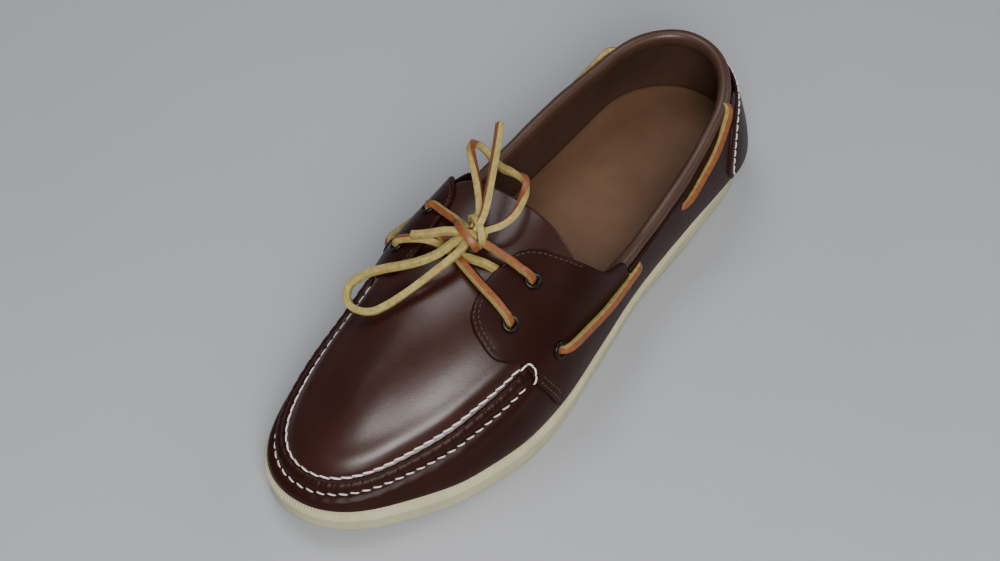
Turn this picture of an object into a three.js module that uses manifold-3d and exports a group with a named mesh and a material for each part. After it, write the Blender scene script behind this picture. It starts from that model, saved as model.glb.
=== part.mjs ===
// Boat shoe, left foot, standing empty on its sole.
// Millimetres, +Z up, toe towards -Y, heel towards +Y, the foot's outer (lateral) side at +X.
// Everything is worked out from one surface, the last: a ring angle runs round the shoe (0 at the
// heel, a half turn at the toe), and a rise angle runs from the sole (0) up to the instep ridge.
import * as THREE from 'three';
import Module from 'manifold-3d';

const wasm = await Module();
wasm.setup();

// ---------------------------------------------------------------- driving sizes
const LENGTH = 300;             // sole, toe to heel
const RING_STEPS = 80;          // columns round the shoe
const UPPER_ROWS = 12;          // rows up the upper
const GAP = 0.3;                // between pieces that meet
const OVER = 0.5;               // under a piece laid over the upper, whose facets differ
const LEATHER = 2.0;            // wall of the upper
const OVERLAY = 1.8;            // leather of the pieces laid over it
const WALL_INSET = 4.0;         // the upper's wall stands in this far from the sole's outline
const WALL_SETTLES = 0.5;       // below this rise it settles outwards to the ledge
const RIM_BEVEL = 3.5;          // height of the ribbed bevel on the sole's edge
const TOE_SPRING = 6.5;         // the toe's lift off the floor
const SPRING_START = 0.62;      // where the toe starts to lift, as a fraction of the length
const ARCH_LIFT = 1.2;          // the arch's lift off the floor
const ARCH = { from: 0.30, to: 0.50 };
const INSOLE = 3.0;             // thickness of the insole
const RIDGE_SPAN = 0.70;        // the ridge is this much shorter than the sole
const HEEL_ROUND = 0.13;        // rounded share of the outline at the heel
const TOE_ROUND = 0.20;         // and at the toe
const ROUND_POWER = 2.1;

// One row for each section of the last, from the heel (0) to the toe (1): half widths of the
// sole, its centre line, the height of its edge, the ridge of the instep, how far the upper
// swells out over the sole, how full its sides are, and how far in the sole's edge, its bottom
// and the foot of the upper stand from the widths.
const LAST = table(`
  at    lateral medial centre rim   ridgeX ridgeZ swellLat swellMed fullLat fullMed edge bottom  ledge
  0.00  36.0    34.5    0.0   20.5   0.0   100.0  1.0      1.0      1.80    1.80    2.5  4.0    2.0
  0.12  39.0    35.5    0.0   18.5   0.0   100.0  3.5      3.5      2.00    2.00    1.5  4.5   -0.2
  0.25  40.0    37.0    0.0   17.0  -1.0    96.0  6.5      7.5      2.30    2.30    0.0  5.5    0.4
  0.40  42.0    39.5    0.0   15.5  -3.0    86.0  6.0      7.5      2.40    2.80    0.0  6.0   0.75
  0.54  48.0    43.0    0.0   15.0  -4.0    77.0  4.0      4.5      2.40    3.20    0.0  4.0    1.1
  0.64  52.5    46.0    0.0   16.0  -4.0    71.5  3.0      3.5      2.35    2.90    0.0  2.5    1.6
  0.72  52.0    46.0    0.0   16.0  -3.5    65.5  2.5      2.5      2.25    2.40    0.0  2.0    1.7
  0.82  47.5    43.5   -3.5   15.5  -5.0    54.5  2.0      1.5      2.10    2.05    0.0  1.5    1.5
  0.91  43.0    41.5   -7.0   17.0  -7.0    43.5  1.5      1.0      1.95    1.90    0.0  1.5    1.8
  1.00  41.5    42.5   -9.0   19.0  -9.0    33.5  1.0      1.0      1.95    1.95    0.0  1.5    1.5`);

// Top edge of the collar, by the same fraction.
const COLLAR_TOP = table(`
  at    lateral medial
  0.00  67.0    67.0
  0.06  65.8    65.8
  0.15  60.5    61.5
  0.28  52.5    56.5
  0.40  46.5    52.0
  0.50  49.0    50.5`);
const COLLAR_ROLL = { width: 6.0, height: 7.5, sides: 9, steps: 50, proud: 0.7 };
const COLLAR_END = degrees(87);       // ring angle where the collar meets the saddle

// The throat: the upper's top edge leaves the collar and closes over the ridge.
const THROAT_REAR = degrees(85.5);
const THROAT_FRONT = degrees(112.5);
const TONGUE_REAR = degrees(92);
const TONGUE_ROWS = 8;
const TONGUE_COLUMNS = 12;

// Saddle (eyestay): by the rise angle, the ring angles where it starts and ends, in degrees.
const SADDLE = table(`
  rise  rear   front
  0.06  90.0   108.5
  0.25  90.0   110.5
  0.48  90.0   113.0
  0.60  90.2   113.6
  0.70  91.4   114.6
  0.88  93.8   118.9
  1.06  96.4   120.1
  1.19  98.4   120.0
  1.27  100.6  118.6
  1.32  103.6  115.4
  1.345 108.0  111.5`);
const SADDLE_ROWS = 12;
const SADDLE_COLUMNS = 8;
const MEDIAL_SHIFT = degrees(-3);     // the medial saddle's top sits further back
const MEDIAL_RISE = 0.945;            // and is a little lower for its fuller side

// Eyelets, on the lateral saddle.
const EYELETS = [
  { name: 'rear', ring: degrees(104.0), rise: 1.093 },
  { name: 'front', ring: degrees(112.8), rise: 1.008 },
  { name: 'side', ring: degrees(106.0), rise: 0.517 },
];
const EYELET = { hole: 2.9, barrel: 2.6, bore: 2.0, flange: 4.0, height: 0.9, sides: 10 };

// The raised lip of the moccasin seam, and the half-moon patch at the heel.
const LIP = { width: 5.2, height: 2.2, from: degrees(115.2), to: degrees(244.8), steps: 46 };
const SEAM = table(`
  from_toe  rise
  -66       0.60
  -50       0.56
  -25       0.50
  0         0.50
  25        0.48
  45        0.52
  66        0.70`);
const HEEL_PATCH = table(`
  rise  half_angle
  0.055 45
  0.12  46.5
  0.19  46
  0.26  44.5
  0.34  42
  0.41  38.5
  0.46  33
  0.49  25
  0.505 12`);
const HEEL_PATCH_THICKNESS = 2.2;

// The rawhide lace. A route given as ring and rise angles (degrees, radians) and a height off the
// last lies on the shoe; a route given as x, y, z stands free.
const LACE = { width: 3.2, sides: 8, step: 6.0 };
const SIDE_LACES = [
  { name: 'front', route: [[104.0, 0.492, 4.6], [98, 0.410, 4.7], [92.5, 0.350, 4.7],
    [88, 0.310, 3.6], [84, 0.280, 2.3], [80.3, 0.262, 2.0]] },
  { name: 'rear', route: [[63.5, 0.280, 2.0], [57, 0.335, 2.0], [50, 0.400, 2.0],
    [46.5, 0.443, 2.0], [43, 0.488, 2.0]] },
];
// From each front eyelet the lace crosses the tongue to the other side's flap.
const CROSSING = {
  low: [[-29.0, -44.8, 71.0], [-24.0, -43.3, 73.4], [-19.0, -42.0, 74.6], [-13.0, -41.0, 74.4],
    [-6.0, -40.8, 74.3], [1.0, -39.4, 74.5], [7.5, -37.3, 74.2]],
  high: [[26.8, -50.0, 69.2], [21.5, -49.6, 71.8], [14.5, -48.6, 74.2], [6.0, -46.4, 75.6],
    [-1.5, -44.0, 76.3], [-7.5, -41.6, 76.6], [-12.0, -39.4, 75.8], [-15.5, -38.0, 74.6]],
};
// From each rear eyelet it rises to the knot.
const TIES = {
  lateral: [[22.5, -31.6, 74.0], [17.0, -31.8, 76.0], [11.0, -32.2, 77.8], [4.8, -32.7, 79.3]],
  medial: [[-28.2, -25.8, 75.9], [-23.0, -27.2, 77.0], [-17.5, -28.6, 78.8],
    [-12.6, -30.2, 80.2]],
};
const KNOT = { at: [-4.2, -33.6, 81.6], half: [6.6, 5.8, 4.6], round: 12, rows: 8 };
const LOOPS = {
  front: [[-6.4, -41.4, 81.4], [-8.2, -49.2, 80.6], [-12.4, -55.0, 78.6], [-18.6, -59.6, 75.6],
    [-25.2, -63.2, 72.4], [-31.0, -67.2, 69.2], [-34.9, -71.4, 66.0], [-36.2, -75.0, 63.4],
    [-34.9, -78.0, 61.4], [-31.4, -80.2, 60.4], [-26.0, -80.4, 60.8], [-20.2, -78.4, 62.8],
    [-16.2, -73.8, 65.4], [-12.8, -68.2, 68.4], [-9.2, -61.6, 72.2], [-6.0, -55.0, 75.8],
    [-3.4, -48.6, 78.6], [-1.9, -41.0, 80.6]],
  rear: [[-4.6, -26.4, 84.6], [-7.0, -22.4, 86.4], [-12.0, -16.8, 88.6], [-18.8, -10.2, 90.4],
    [-24.4, -5.0, 91.6], [-28.6, 0.2, 90.6], [-29.6, 5.4, 86.6], [-26.2, 7.6, 82.6],
    [-20.4, 5.2, 82.2], [-13.4, 2.2, 84.6], [-5.6, 0.4, 87.6], [1.2, -1.6, 89.6], [4.4, -5.8, 89.2],
    [6.6, -12.0, 88.0], [7.2, -18.0, 86.2], [5.4, -23.4, 84.2], [2.2, -27.2, 82.8]],
};
const ENDS = {
  front: [[-11.0, -38.0, 82.4], [-14.0, -40.2, 82.0], [-17.4, -42.6, 80.8], [-21.2, -44.6, 79.4],
    [-24.8, -46.2, 78.2]],
  rear: [[-1.4, -28.0, 88.0], [-3.4, -22.4, 90.6], [-7.4, -14.4, 93.6], [-11.8, -5.9, 96.2],
    [-16.4, 2.6, 98.6], [-20.8, 10.2, 100.4]],
};

const COLOURS = {
  leather: 0x3b211c, rubber: 0xc9c4a8, insole: 0x8a6a4c,
  lace: 0xb98a4e, metal: 0x2a211c,
};

// ---------------------------------------------------------------- tables and small maths
function degrees(angle) {
  return (angle * Math.PI) / 180;
}

// A table as text: named columns, one row for each section.
function table(text) {
  const lines = text.trim().split('\n').map((line) => line.trim().split(/\s+/));
  const names = lines.shift();
  const columns = {};
  names.forEach((name, i) => { columns[name] = lines.map((line) => Number(line[i])); });
  return { key: names[0], columns };
}

// A smooth curve through one column of a table.
function look(tab, name, at) {
  const xs = tab.columns[tab.key];
  const ys = tab.columns[name];
  const last = xs.length - 1;
  const slope = (i) => (ys[i + 1] - ys[i]) / (xs[i + 1] - xs[i]);
  const tangent = (i) => {
    if (i === 0) return slope(0);
    if (i === last) return slope(last - 1);
    const before = xs[i] - xs[i - 1];
    const after = xs[i + 1] - xs[i];
    return (slope(i - 1) * after + slope(i) * before) / (before + after);
  };
  let i = 0;
  while (i < last - 1 && at > xs[i + 1]) i += 1;
  const h = xs[i + 1] - xs[i];
  const u = THREE.MathUtils.clamp((at - xs[i]) / h, 0, 1);
  const u2 = u * u;
  const u3 = u2 * u;
  return (2 * u3 - 3 * u2 + 1) * ys[i] + (u3 - 2 * u2 + u) * h * tangent(i)
    + (3 * u2 - 2 * u3) * ys[i + 1] + (u3 - u2) * h * tangent(i + 1);
}

function range(count, from, to) {
  return Array.from({ length: count + 1 }, (_, i) => from + ((to - from) * i) / count);
}

// ---------------------------------------------------------------- the last
function along(ring) {
  return (1 - Math.cos(ring)) / 2;
}

function atY(y) {
  return 0.5 - y / LENGTH;
}

function isLateral(ring) {
  return Math.sin(ring) >= 0;
}

function roundEnds(at) {
  const heel = 1 - Math.max((HEEL_ROUND - at) / HEEL_ROUND, 0) ** ROUND_POWER;
  const toe = 1 - Math.max((at - 1 + TOE_ROUND) / TOE_ROUND, 0) ** ROUND_POWER;
  return (Math.max(heel, 0) * Math.max(toe, 0)) ** (1 / ROUND_POWER);
}

// The outline seen from above, moved in by inset.
function outline(ring, inset) {
  const at = along(ring);
  const side = isLateral(ring) ? 1 : -1;
  const half = look(LAST, side > 0 ? 'lateral' : 'medial', at) - inset;
  return new THREE.Vector2(
    look(LAST, 'centre', at) + side * half * roundEnds(at),
    (LENGTH / 2 - inset) * Math.cos(ring),
  );
}

function rimHeight(y) {
  return look(LAST, 'rim', atY(y));
}

function ridgePoint(ring) {
  const at = 0.5 + (along(ring) - 0.5) * RIDGE_SPAN;
  return new THREE.Vector2(look(LAST, 'ridgeX', at), LENGTH * (0.5 - at));
}

// A point of the last: rise 0 is the feather line where upper meets sole, a quarter turn the ridge.
function lastPoint(ring, rise) {
  const settled = 1 - THREE.MathUtils.smoothstep(rise, 0, WALL_SETTLES);
  const inset = WALL_INSET + (look(LAST, 'ledge', along(ring)) - WALL_INSET) * settled;
  const foot = outline(ring, inset);
  const turn = 1e-3;
  const run = outline(ring + turn, inset).sub(outline(ring - turn, inset)).normalize();
  const out = new THREE.Vector2(run.y, -run.x);
  const ridge = ridgePoint(ring);
  if (out.dot(foot.clone().sub(ridge)) < 0) out.negate();
  const lateral = isLateral(ring);
  const at = along(ring);
  const power = 2 / look(LAST, lateral ? 'fullLat' : 'fullMed', at);
  const swell = look(LAST, lateral ? 'swellLat' : 'swellMed', at) * Math.sin(2 * rise);
  const inward = 1 - Math.max(Math.cos(rise), 0) ** power;
  const upward = Math.sin(rise) ** power;
  const plan = foot.clone().lerp(ridge, inward).addScaledVector(out, swell);
  if (rise >= Math.PI / 2 - 1e-9) plan.copy(ridge);
  const base = rimHeight(foot.y);
  const top = look(LAST, 'ridgeZ', atY(plan.y));
  return new THREE.Vector3(plan.x, plan.y, base + (top - base) * upward);
}

// Unit vector out of the last's surface.
function lastNormal(ring, rise) {
  const step = 2e-3;
  const low = Math.max(Math.min(rise, Math.PI / 2 - 0.05), 0.02);
  if (rise > Math.PI / 2 - 1e-6) {
    const behind = lastPoint(ring - step, Math.PI / 2);
    const ahead = lastPoint(ring + step, Math.PI / 2);
    const run = ahead.sub(behind).normalize();
    if (Math.abs(run.y) < 1e-6) run.set(0, -1, 0);
    const up = new THREE.Vector3(1, 0, 0).cross(run).normalize();
    return up.z < 0 ? up.negate() : up;
  }
  const round = lastPoint(ring + step, low).sub(lastPoint(ring - step, low));
  const rising = lastPoint(ring, low + step).sub(lastPoint(ring, low - step));
  const normal = round.cross(rising).normalize();
  const ridge = ridgePoint(ring);
  const foot = outline(ring, WALL_INSET);
  const away = new THREE.Vector3(foot.x - ridge.x, foot.y - ridge.y, 20);
  return normal.dot(away) < 0 ? normal.negate() : normal;
}

// A point a distance off the last, outwards.
function offLast(ring, rise, distance) {
  return lastPoint(ring, rise).addScaledVector(lastNormal(ring, rise), distance);
}

function riseAtHeight(ring, height) {
  let low = 0;
  let high = Math.PI / 2;
  for (let i = 0; i < 30; i += 1) {
    const middle = (low + high) / 2;
    if (lastPoint(ring, middle).z < height) low = middle;
    else high = middle;
  }
  return (low + high) / 2;
}

// Ring angles of the columns; the medial half mirrors the lateral half exactly.
const RING = Array.from({ length: RING_STEPS }, (_, i) => {
  const step = (2 * Math.PI) / RING_STEPS;
  return i <= RING_STEPS / 2 ? i * step : -(RING_STEPS - i) * step;
});

// ---------------------------------------------------------------- closed solids from grids
// Joins equal points, drops flat triangles and turns the faces outwards.
function solid(points, triangles) {
  const index = new Map();
  const kept = [];
  const ids = points.map((p) => {
    const key = [p.x, p.y, p.z].map((v) => Math.round(v * 1000)).join();
    if (!index.has(key)) {
      index.set(key, kept.length);
      kept.push(p);
    }
    return index.get(key);
  });
  const faces = triangles.map((t) => t.map((i) => ids[i]))
    .filter(([a, b, c]) => a !== b && b !== c && a !== c);
  const volume = faces.reduce((sum, [a, b, c]) =>
    sum + kept[a].dot(new THREE.Vector3().crossVectors(kept[b], kept[c])), 0);
  if (volume < 0) faces.forEach((f) => f.reverse());
  const geometry = new THREE.BufferGeometry();
  geometry.setAttribute('position',
    new THREE.Float32BufferAttribute(kept.flatMap((p) => [p.x, p.y, p.z]), 3));
  geometry.setIndex(faces.flat());
  return geometry;
}

// The space between two grids of points, grid[row][column]. A ring closes on itself, and its
// top edge is left unjoined where shut(column) says that it has met the other side.
function betweenGrids(outer, inner, { ring = false, shut = () => false } = {}) {
  const rows = outer.length;
  const columns = outer[0].length;
  const points = [...outer.flat(), ...inner.flat()];
  const id = (layer, row, column) => (layer * rows + row) * columns + (column % columns);
  const triangles = [];
  const quad = (a, b, c, d) => triangles.push([a, b, c], [a, c, d]);
  const spans = ring ? columns : columns - 1;
  for (let j = 0; j < rows - 1; j += 1) {
    for (let i = 0; i < spans; i += 1) {
      quad(id(0, j, i), id(0, j, i + 1), id(0, j + 1, i + 1), id(0, j + 1, i));
      quad(id(1, j, i + 1), id(1, j, i), id(1, j + 1, i), id(1, j + 1, i + 1));
    }
    if (!ring) {
      const last = columns - 1;
      quad(id(1, j, 0), id(0, j, 0), id(0, j + 1, 0), id(1, j + 1, 0));
      quad(id(0, j, last), id(1, j, last), id(1, j + 1, last), id(0, j + 1, last));
    }
  }
  for (let i = 0; i < spans; i += 1) {
    quad(id(1, 0, i), id(1, 0, i + 1), id(0, 0, i + 1), id(0, 0, i));
    if (shut(i) && shut((i + 1) % columns)) continue;
    const top = rows - 1;
    quad(id(0, top, i), id(0, top, i + 1), id(1, top, i + 1), id(1, top, i));
  }
  return solid(points, triangles);
}

// A closed section swept through frames; sections[step][corner].
function sweep(sections, closed = false) {
  const steps = sections.length;
  const corners = sections[0].length;
  const points = sections.flat();
  const triangles = [];
  const id = (step, corner) => (step % steps) * corners + (corner % corners);
  for (let j = 0; j < (closed ? steps : steps - 1); j += 1) {
    for (let i = 0; i < corners; i += 1) {
      triangles.push([id(j, i), id(j, i + 1), id(j + 1, i + 1)]);
      triangles.push([id(j, i), id(j + 1, i + 1), id(j + 1, i)]);
    }
  }
  if (!closed) {
    for (let i = 1; i < corners - 1; i += 1) {
      triangles.push([id(0, 0), id(0, i + 1), id(0, i)]);
      triangles.push([id(steps - 1, 0), id(steps - 1, i), id(steps - 1, i + 1)]);
    }
  }
  return solid(points, triangles);
}

function toManifold(geometry) {
  return new wasm.Manifold(new wasm.Mesh({
    numProp: 3,
    vertProperties: Float32Array.from(geometry.attributes.position.array),
    triVerts: Uint32Array.from(geometry.index.array),
  }));
}

function fromManifold(manifold) {
  const mesh = manifold.getMesh();
  const points = [];
  for (let i = 0; i < mesh.vertProperties.length; i += mesh.numProp) {
    points.push(new THREE.Vector3().fromArray(mesh.vertProperties, i));
  }
  const triangles = [];
  for (let i = 0; i < mesh.triVerts.length; i += 3) {
    triangles.push([...mesh.triVerts.slice(i, i + 3)]);
  }
  return solid(points, triangles);
}

// ---------------------------------------------------------------- outsole and insole
function floorLift(at) {
  const toe = Math.max((at - SPRING_START) / (1 - SPRING_START), 0);
  const arch = THREE.MathUtils.clamp((at - ARCH.from) / (ARCH.to - ARCH.from), 0, 1);
  return TOE_SPRING * toe * toe + ARCH_LIFT * Math.sin(Math.PI * arch) ** 2;
}

// The middle line that the flat faces of sole and insole close on.
function middlePoint(ring) {
  const at = 0.5 + (along(ring) - 0.5) * 0.86;
  return new THREE.Vector2(look(LAST, 'centre', at), LENGTH * (0.5 - at));
}

// A ring of points between the outline at inset (share 0) and the middle line (share 1).
function flatRow(insetAt, share, height) {
  return RING.map((ring) => {
    const plan = outline(ring, insetAt(along(ring))).lerp(middlePoint(ring), share);
    return new THREE.Vector3(plan.x, plan.y, height(atY(plan.y), plan.y));
  });
}

function outsole() {
  const edge = (at) => look(LAST, 'edge', at);
  const bottom = (at) => edge(at) + look(LAST, 'bottom', at);
  const deck = (at, y) => rimHeight(y) - GAP;
  const under = [1, 0.5, 0].map((share) => flatRow(bottom, share, floorLift));
  const toSide = flatRow((at) => edge(at) + 0.6, 0, (at) => floorLift(at) + 4);
  const side = flatRow(edge, 0, (at, y) => rimHeight(y) - RIM_BEVEL);
  const shoulder = (at) => Math.max(edge(at) + 0.9, look(LAST, 'ledge', at) - GAP);
  const bevel = flatRow(shoulder, 0, deck);
  const top = [0.5, 1].map((share) => flatRow(shoulder, share, deck));
  return closedRings([...under, toSide, side, bevel, ...top]);
}

function insole() {
  const inset = (at) => look(LAST, 'ledge', at) + LEATHER + 2.2;
  const below = (at, y) => rimHeight(y) + 0.1;
  const above = (at, y) => rimHeight(y) + INSOLE;
  return closedRings([
    ...[1, 0.5, 0].map((share) => flatRow(inset, share, below)),
    ...[0, 0.5, 1].map((share) => flatRow(inset, share, above)),
  ]);
}

// Rings of points, one above the other, whose first and last rings have closed on a line.
function closedRings(rings) {
  const columns = rings[0].length;
  const triangles = [];
  for (let j = 0; j < rings.length - 1; j += 1) {
    for (let i = 0; i < columns; i += 1) {
      const next = (i + 1) % columns;
      const [a, b, c, d] = [j * columns + i, j * columns + next,
        (j + 1) * columns + next, (j + 1) * columns + i];
      triangles.push([a, b, c], [a, c, d]);
    }
  }
  return solid(rings.flat(), triangles);
}

// ---------------------------------------------------------------- upper, collar and tongue
function collarTop(ring) {
  return look(COLLAR_TOP, isLateral(ring) ? 'lateral' : 'medial', along(ring));
}

// Rise angle of the upper's top edge: under the collar, then round the throat to the ridge.
function upperEdge(ring) {
  const turn = Math.abs(ring);
  const underCollar = (angle) =>
    riseAtHeight(angle, collarTop(angle) - COLLAR_ROLL.height - 2.5 * GAP);
  if (turn <= THROAT_REAR) return underCollar(ring);
  if (turn >= THROAT_FRONT) return Math.PI / 2;
  const start = underCollar(Math.sign(ring) * THROAT_REAR);
  const share = (turn - THROAT_REAR) / (THROAT_FRONT - THROAT_REAR);
  return start + (Math.PI / 2 - start) * (1 - Math.sqrt(1 - share * share));
}

// The same edge as the upper's columns draw it, straight from one column to the next.
function drawnEdge(ring) {
  const step = (2 * Math.PI) / RING_STEPS;
  const column = Math.floor(ring / step + 1e-9);
  const share = ring / step - column;
  return upperEdge(column * step) * (1 - share) + upperEdge((column + 1) * step) * share;
}

function upper() {
  const rows = range(UPPER_ROWS, 0, 1);
  const grid = (distance) => rows.map((row) =>
    RING.map((ring) => offLast(ring, row * upperEdge(ring), distance)));
  const outer = grid(0);
  const inner = grid(-LEATHER);
  RING.forEach((ring, i) => {
    outer[0][i].z = rimHeight(outer[0][i].y);
    inner[0][i].z = rimHeight(inner[0][i].y);
  });
  const shut = (i) => Math.abs(RING[i]) >= THROAT_FRONT - 1e-6;
  return betweenGrids(outer, inner, { ring: true, shut });
}

function collar() {
  const { width, height, sides, steps, proud } = COLLAR_ROLL;
  const sections = range(steps, -COLLAR_END, COLLAR_END).map((ring) => {
    const rise = riseAtHeight(ring, collarTop(ring) - height / 2);
    const out = lastNormal(ring, rise).setZ(0).normalize();
    const centre = lastPoint(ring, rise).addScaledVector(out, proud - width / 2);
    centre.z = collarTop(ring) - height / 2;
    return range(sides - 1, 0, 2 * Math.PI * (1 - 1 / sides)).map((angle) =>
      centre.clone().addScaledVector(out, (Math.cos(angle) * width) / 2)
        .add(new THREE.Vector3(0, 0, (Math.sin(angle) * height) / 2)));
  });
  return sweep(sections);
}

// The tongue lies in the upper's own layer, inside the throat, under both saddles.
function tongue() {
  const front = THROAT_FRONT - degrees(0.6);
  const rings = range(TONGUE_ROWS, TONGUE_REAR, front);
  const shares = range(TONGUE_COLUMNS, -1, 1);
  const clear = 0.08;               // rise angle left open between throat and tongue
  const rearDip = degrees(5);       // the rear edge falls forward towards its sides
  const grid = (distance) => rings.map((ring, row) => shares.map((share) => {
    const side = share < 0 ? -1 : 1;
    const back = row / TONGUE_ROWS;
    const turn = ring + rearDip * share * share * (1 - back);
    const edge = Math.min(drawnEdge(side * turn) + clear, Math.PI / 2);
    const rise = Math.PI / 2 - (Math.PI / 2 - edge) * Math.abs(share);
    return offLast(side * turn, rise, distance);
  }));
  return betweenGrids(grid(0), grid(-LEATHER));
}

// ---------------------------------------------------------------- pieces laid over the upper
// Rows of a patch: rise angle by rise angle, from one ring angle to another, above the last.
function patch(rows, columns, above, thickness) {
  const grid = (distance) => rows.map(({ rise, from, to }) =>
    range(columns, from, to).map((ring) => offLast(ring, rise, distance)));
  return betweenGrids(grid(above + thickness), grid(above));
}

// Where a place given on the lateral side is found on the side asked for.
function onSide(side, ring, rise) {
  if (side === 'lateral') return { ring, rise };
  const share = THREE.MathUtils.smoothstep(rise, 0.5, 1.0);
  const low = 1 + (MEDIAL_RISE - 1) * share;
  return { ring: -(ring + MEDIAL_SHIFT * share), rise: rise * low };
}

function saddle(side) {
  const [first, ...rest] = SADDLE.columns.rise;
  const top = rest[rest.length - 1];
  const rows = range(SADDLE_ROWS, 0, 1).map((share) => {
    const height = first + (top - first) * Math.sin((share * Math.PI) / 2);
    const from = onSide(side, degrees(look(SADDLE, 'rear', height)), height);
    const to = onSide(side, degrees(look(SADDLE, 'front', height)), height);
    return { rise: from.rise, from: from.ring, to: to.ring };
  });
  let body = toManifold(patch(rows, SADDLE_COLUMNS, OVER, OVERLAY));
  EYELETS.forEach((eyelet) => {
    const hole = new THREE.CylinderGeometry(EYELET.hole, EYELET.hole, 9, EYELET.sides);
    body = body.subtract(toManifold(placed(welded(hole), side, eyelet)));
  });
  return fromManifold(body);
}

function welded(geometry) {
  const position = geometry.attributes.position;
  const points = Array.from({ length: position.count }, (_, i) =>
    new THREE.Vector3().fromBufferAttribute(position, i));
  const triangles = [];
  const corners = geometry.index ? [...geometry.index.array] : points.map((_, i) => i);
  for (let i = 0; i < corners.length; i += 3) triangles.push(corners.slice(i, i + 3));
  return solid(points, triangles);
}

// Turns a geometry whose axis is +Y to stand on the saddle at an eyelet.
function placed(geometry, side, eyelet) {
  const { ring, rise } = onSide(side, eyelet.ring, eyelet.rise);
  const normal = lastNormal(ring, rise);
  const turn = new THREE.Quaternion()
    .setFromUnitVectors(new THREE.Vector3(0, 1, 0), normal);
  const place = offLast(ring, rise, OVER + OVERLAY);
  return geometry.applyMatrix4(
    new THREE.Matrix4().compose(place, turn, new THREE.Vector3(1, 1, 1)));
}

function eyelet(side, at) {
  const { barrel, bore, flange, height, sides } = EYELET;
  const profile = [
    [bore, -OVERLAY], [barrel, -OVERLAY], [barrel, GAP], [flange, GAP],
    [flange - 0.5, GAP + height], [bore, GAP + height * 0.7], [bore, -OVERLAY],
  ].map(([r, h]) => new THREE.Vector2(r, h));
  return placed(welded(new THREE.LatheGeometry(profile, sides)), side, at);
}

function mocLip() {
  const { width, height, from, to, steps } = LIP;
  const half = width / 2;
  const section = [[-half, GAP], [-half, GAP + height * 0.55], [-half * 0.45, GAP + height],
    [half * 0.45, GAP + height], [half, GAP + height * 0.55], [half, GAP]];
  const sections = range(steps, from, to).map((turn) => {
    const ring = turn > Math.PI ? turn - 2 * Math.PI : turn;
    const rise = look(SEAM, 'rise', THREE.MathUtils.radToDeg(turn - Math.PI));
    const place = lastPoint(ring, rise);
    const up = lastPoint(ring, rise + 0.02).sub(lastPoint(ring, rise - 0.02)).normalize();
    const out = lastNormal(ring, rise);
    return section.map(([across, off]) =>
      place.clone().addScaledVector(up, across).addScaledVector(out, off + curveRoom(across)));
  });
  return sweep(sections);
}

// The last falls away from its tangent, so a flat section needs a little more room at its edges.
function curveRoom(across) {
  return 0.1 - 0.012 * across * across;
}

function heelPatch() {
  const { rise, half_angle: half } = HEEL_PATCH.columns;
  const rows = rise.map((r, i) => ({ rise: r, from: -degrees(half[i]), to: degrees(half[i]) }));
  return patch(rows, 30, 4 * GAP, HEEL_PATCH_THICKNESS);
}

// ---------------------------------------------------------------- laces
function cord(route) {
  const { width, sides, step } = LACE;
  const path = new THREE.CatmullRomCurve3(route);
  const section = new THREE.Shape(range(sides - 1, 0, 2 * Math.PI * (1 - 1 / sides))
    .map((angle) => new THREE.Vector2(Math.cos(angle), Math.sin(angle)).multiplyScalar(width / 2)));
  const steps = Math.ceil(path.getLength() / step);
  return welded(new THREE.ExtrudeGeometry(section, { steps, extrudePath: path }));
}

function freeRoute(points) {
  return points.map((point) => new THREE.Vector3(...point));
}

function sideLace(side, points) {
  return cord(points.map(([angle, up, distance]) => {
    const { ring, rise } = onSide(side, degrees(angle), up);
    return offLast(ring, rise, distance);
  }));
}

function laceCrossing() {
  const [low, high] = [CROSSING.low, CROSSING.high].map((points) =>
    toManifold(cord(freeRoute(points))));
  return fromManifold(low.add(high));
}

function knot() {
  const ball = new THREE.SphereGeometry(1, KNOT.round, KNOT.rows);
  return welded(ball.scale(...KNOT.half).translate(...KNOT.at));
}

// ---------------------------------------------------------------- assembly
const shoe = new THREE.Group();

function add(name, geometry, colour, roughness, metalness = 0) {
  const material = new THREE.MeshStandardMaterial({ color: colour, roughness, metalness });
  const mesh = new THREE.Mesh(geometry, material);
  mesh.name = name;
  shoe.add(mesh);
}

add('outsole', outsole(), COLOURS.rubber, 0.7);
add('insole', insole(), COLOURS.insole, 0.8);
add('upper', upper(), COLOURS.leather, 0.4);
add('tongue', tongue(), COLOURS.leather, 0.4);
add('collar', collar(), COLOURS.leather, 0.5);
add('moc_lip', mocLip(), COLOURS.leather, 0.4);
add('heel_patch', heelPatch(), COLOURS.leather, 0.4);
['lateral', 'medial'].forEach((side) => {
  add(`saddle_${side}`, saddle(side), COLOURS.leather, 0.4);
  EYELETS.forEach((at) =>
    add(`eyelet_${side}_${at.name}`, eyelet(side, at), COLOURS.metal, 0.4, 0.8));
});

const addLace = (name, geometry) => add(name, geometry, COLOURS.lace, 0.7);
['lateral', 'medial'].forEach((side) => SIDE_LACES.forEach(({ name, route }) =>
  addLace(`side_lace_${side}_${name}`, sideLace(side, route))));
addLace('lace_crossing', laceCrossing());
Object.entries(TIES).forEach(([side, route]) => addLace(`lace_tie_${side}`, cord(freeRoute(route))));

// The origin is under the middle of the shoe's box without the free bow, on the floor.
const box = new THREE.Box3().setFromObject(shoe);
const middle = box.getCenter(new THREE.Vector3());
shoe.position.set(-middle.x, -middle.y, -box.min.z);

addLace('lace_knot', knot());
Object.entries(LOOPS).forEach(([end, route]) => addLace(`lace_loop_${end}`, cord(freeRoute(route))));
Object.entries(ENDS).forEach(([end, route]) => addLace(`lace_end_${end}`, cord(freeRoute(route))));

export default shoe;
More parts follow.
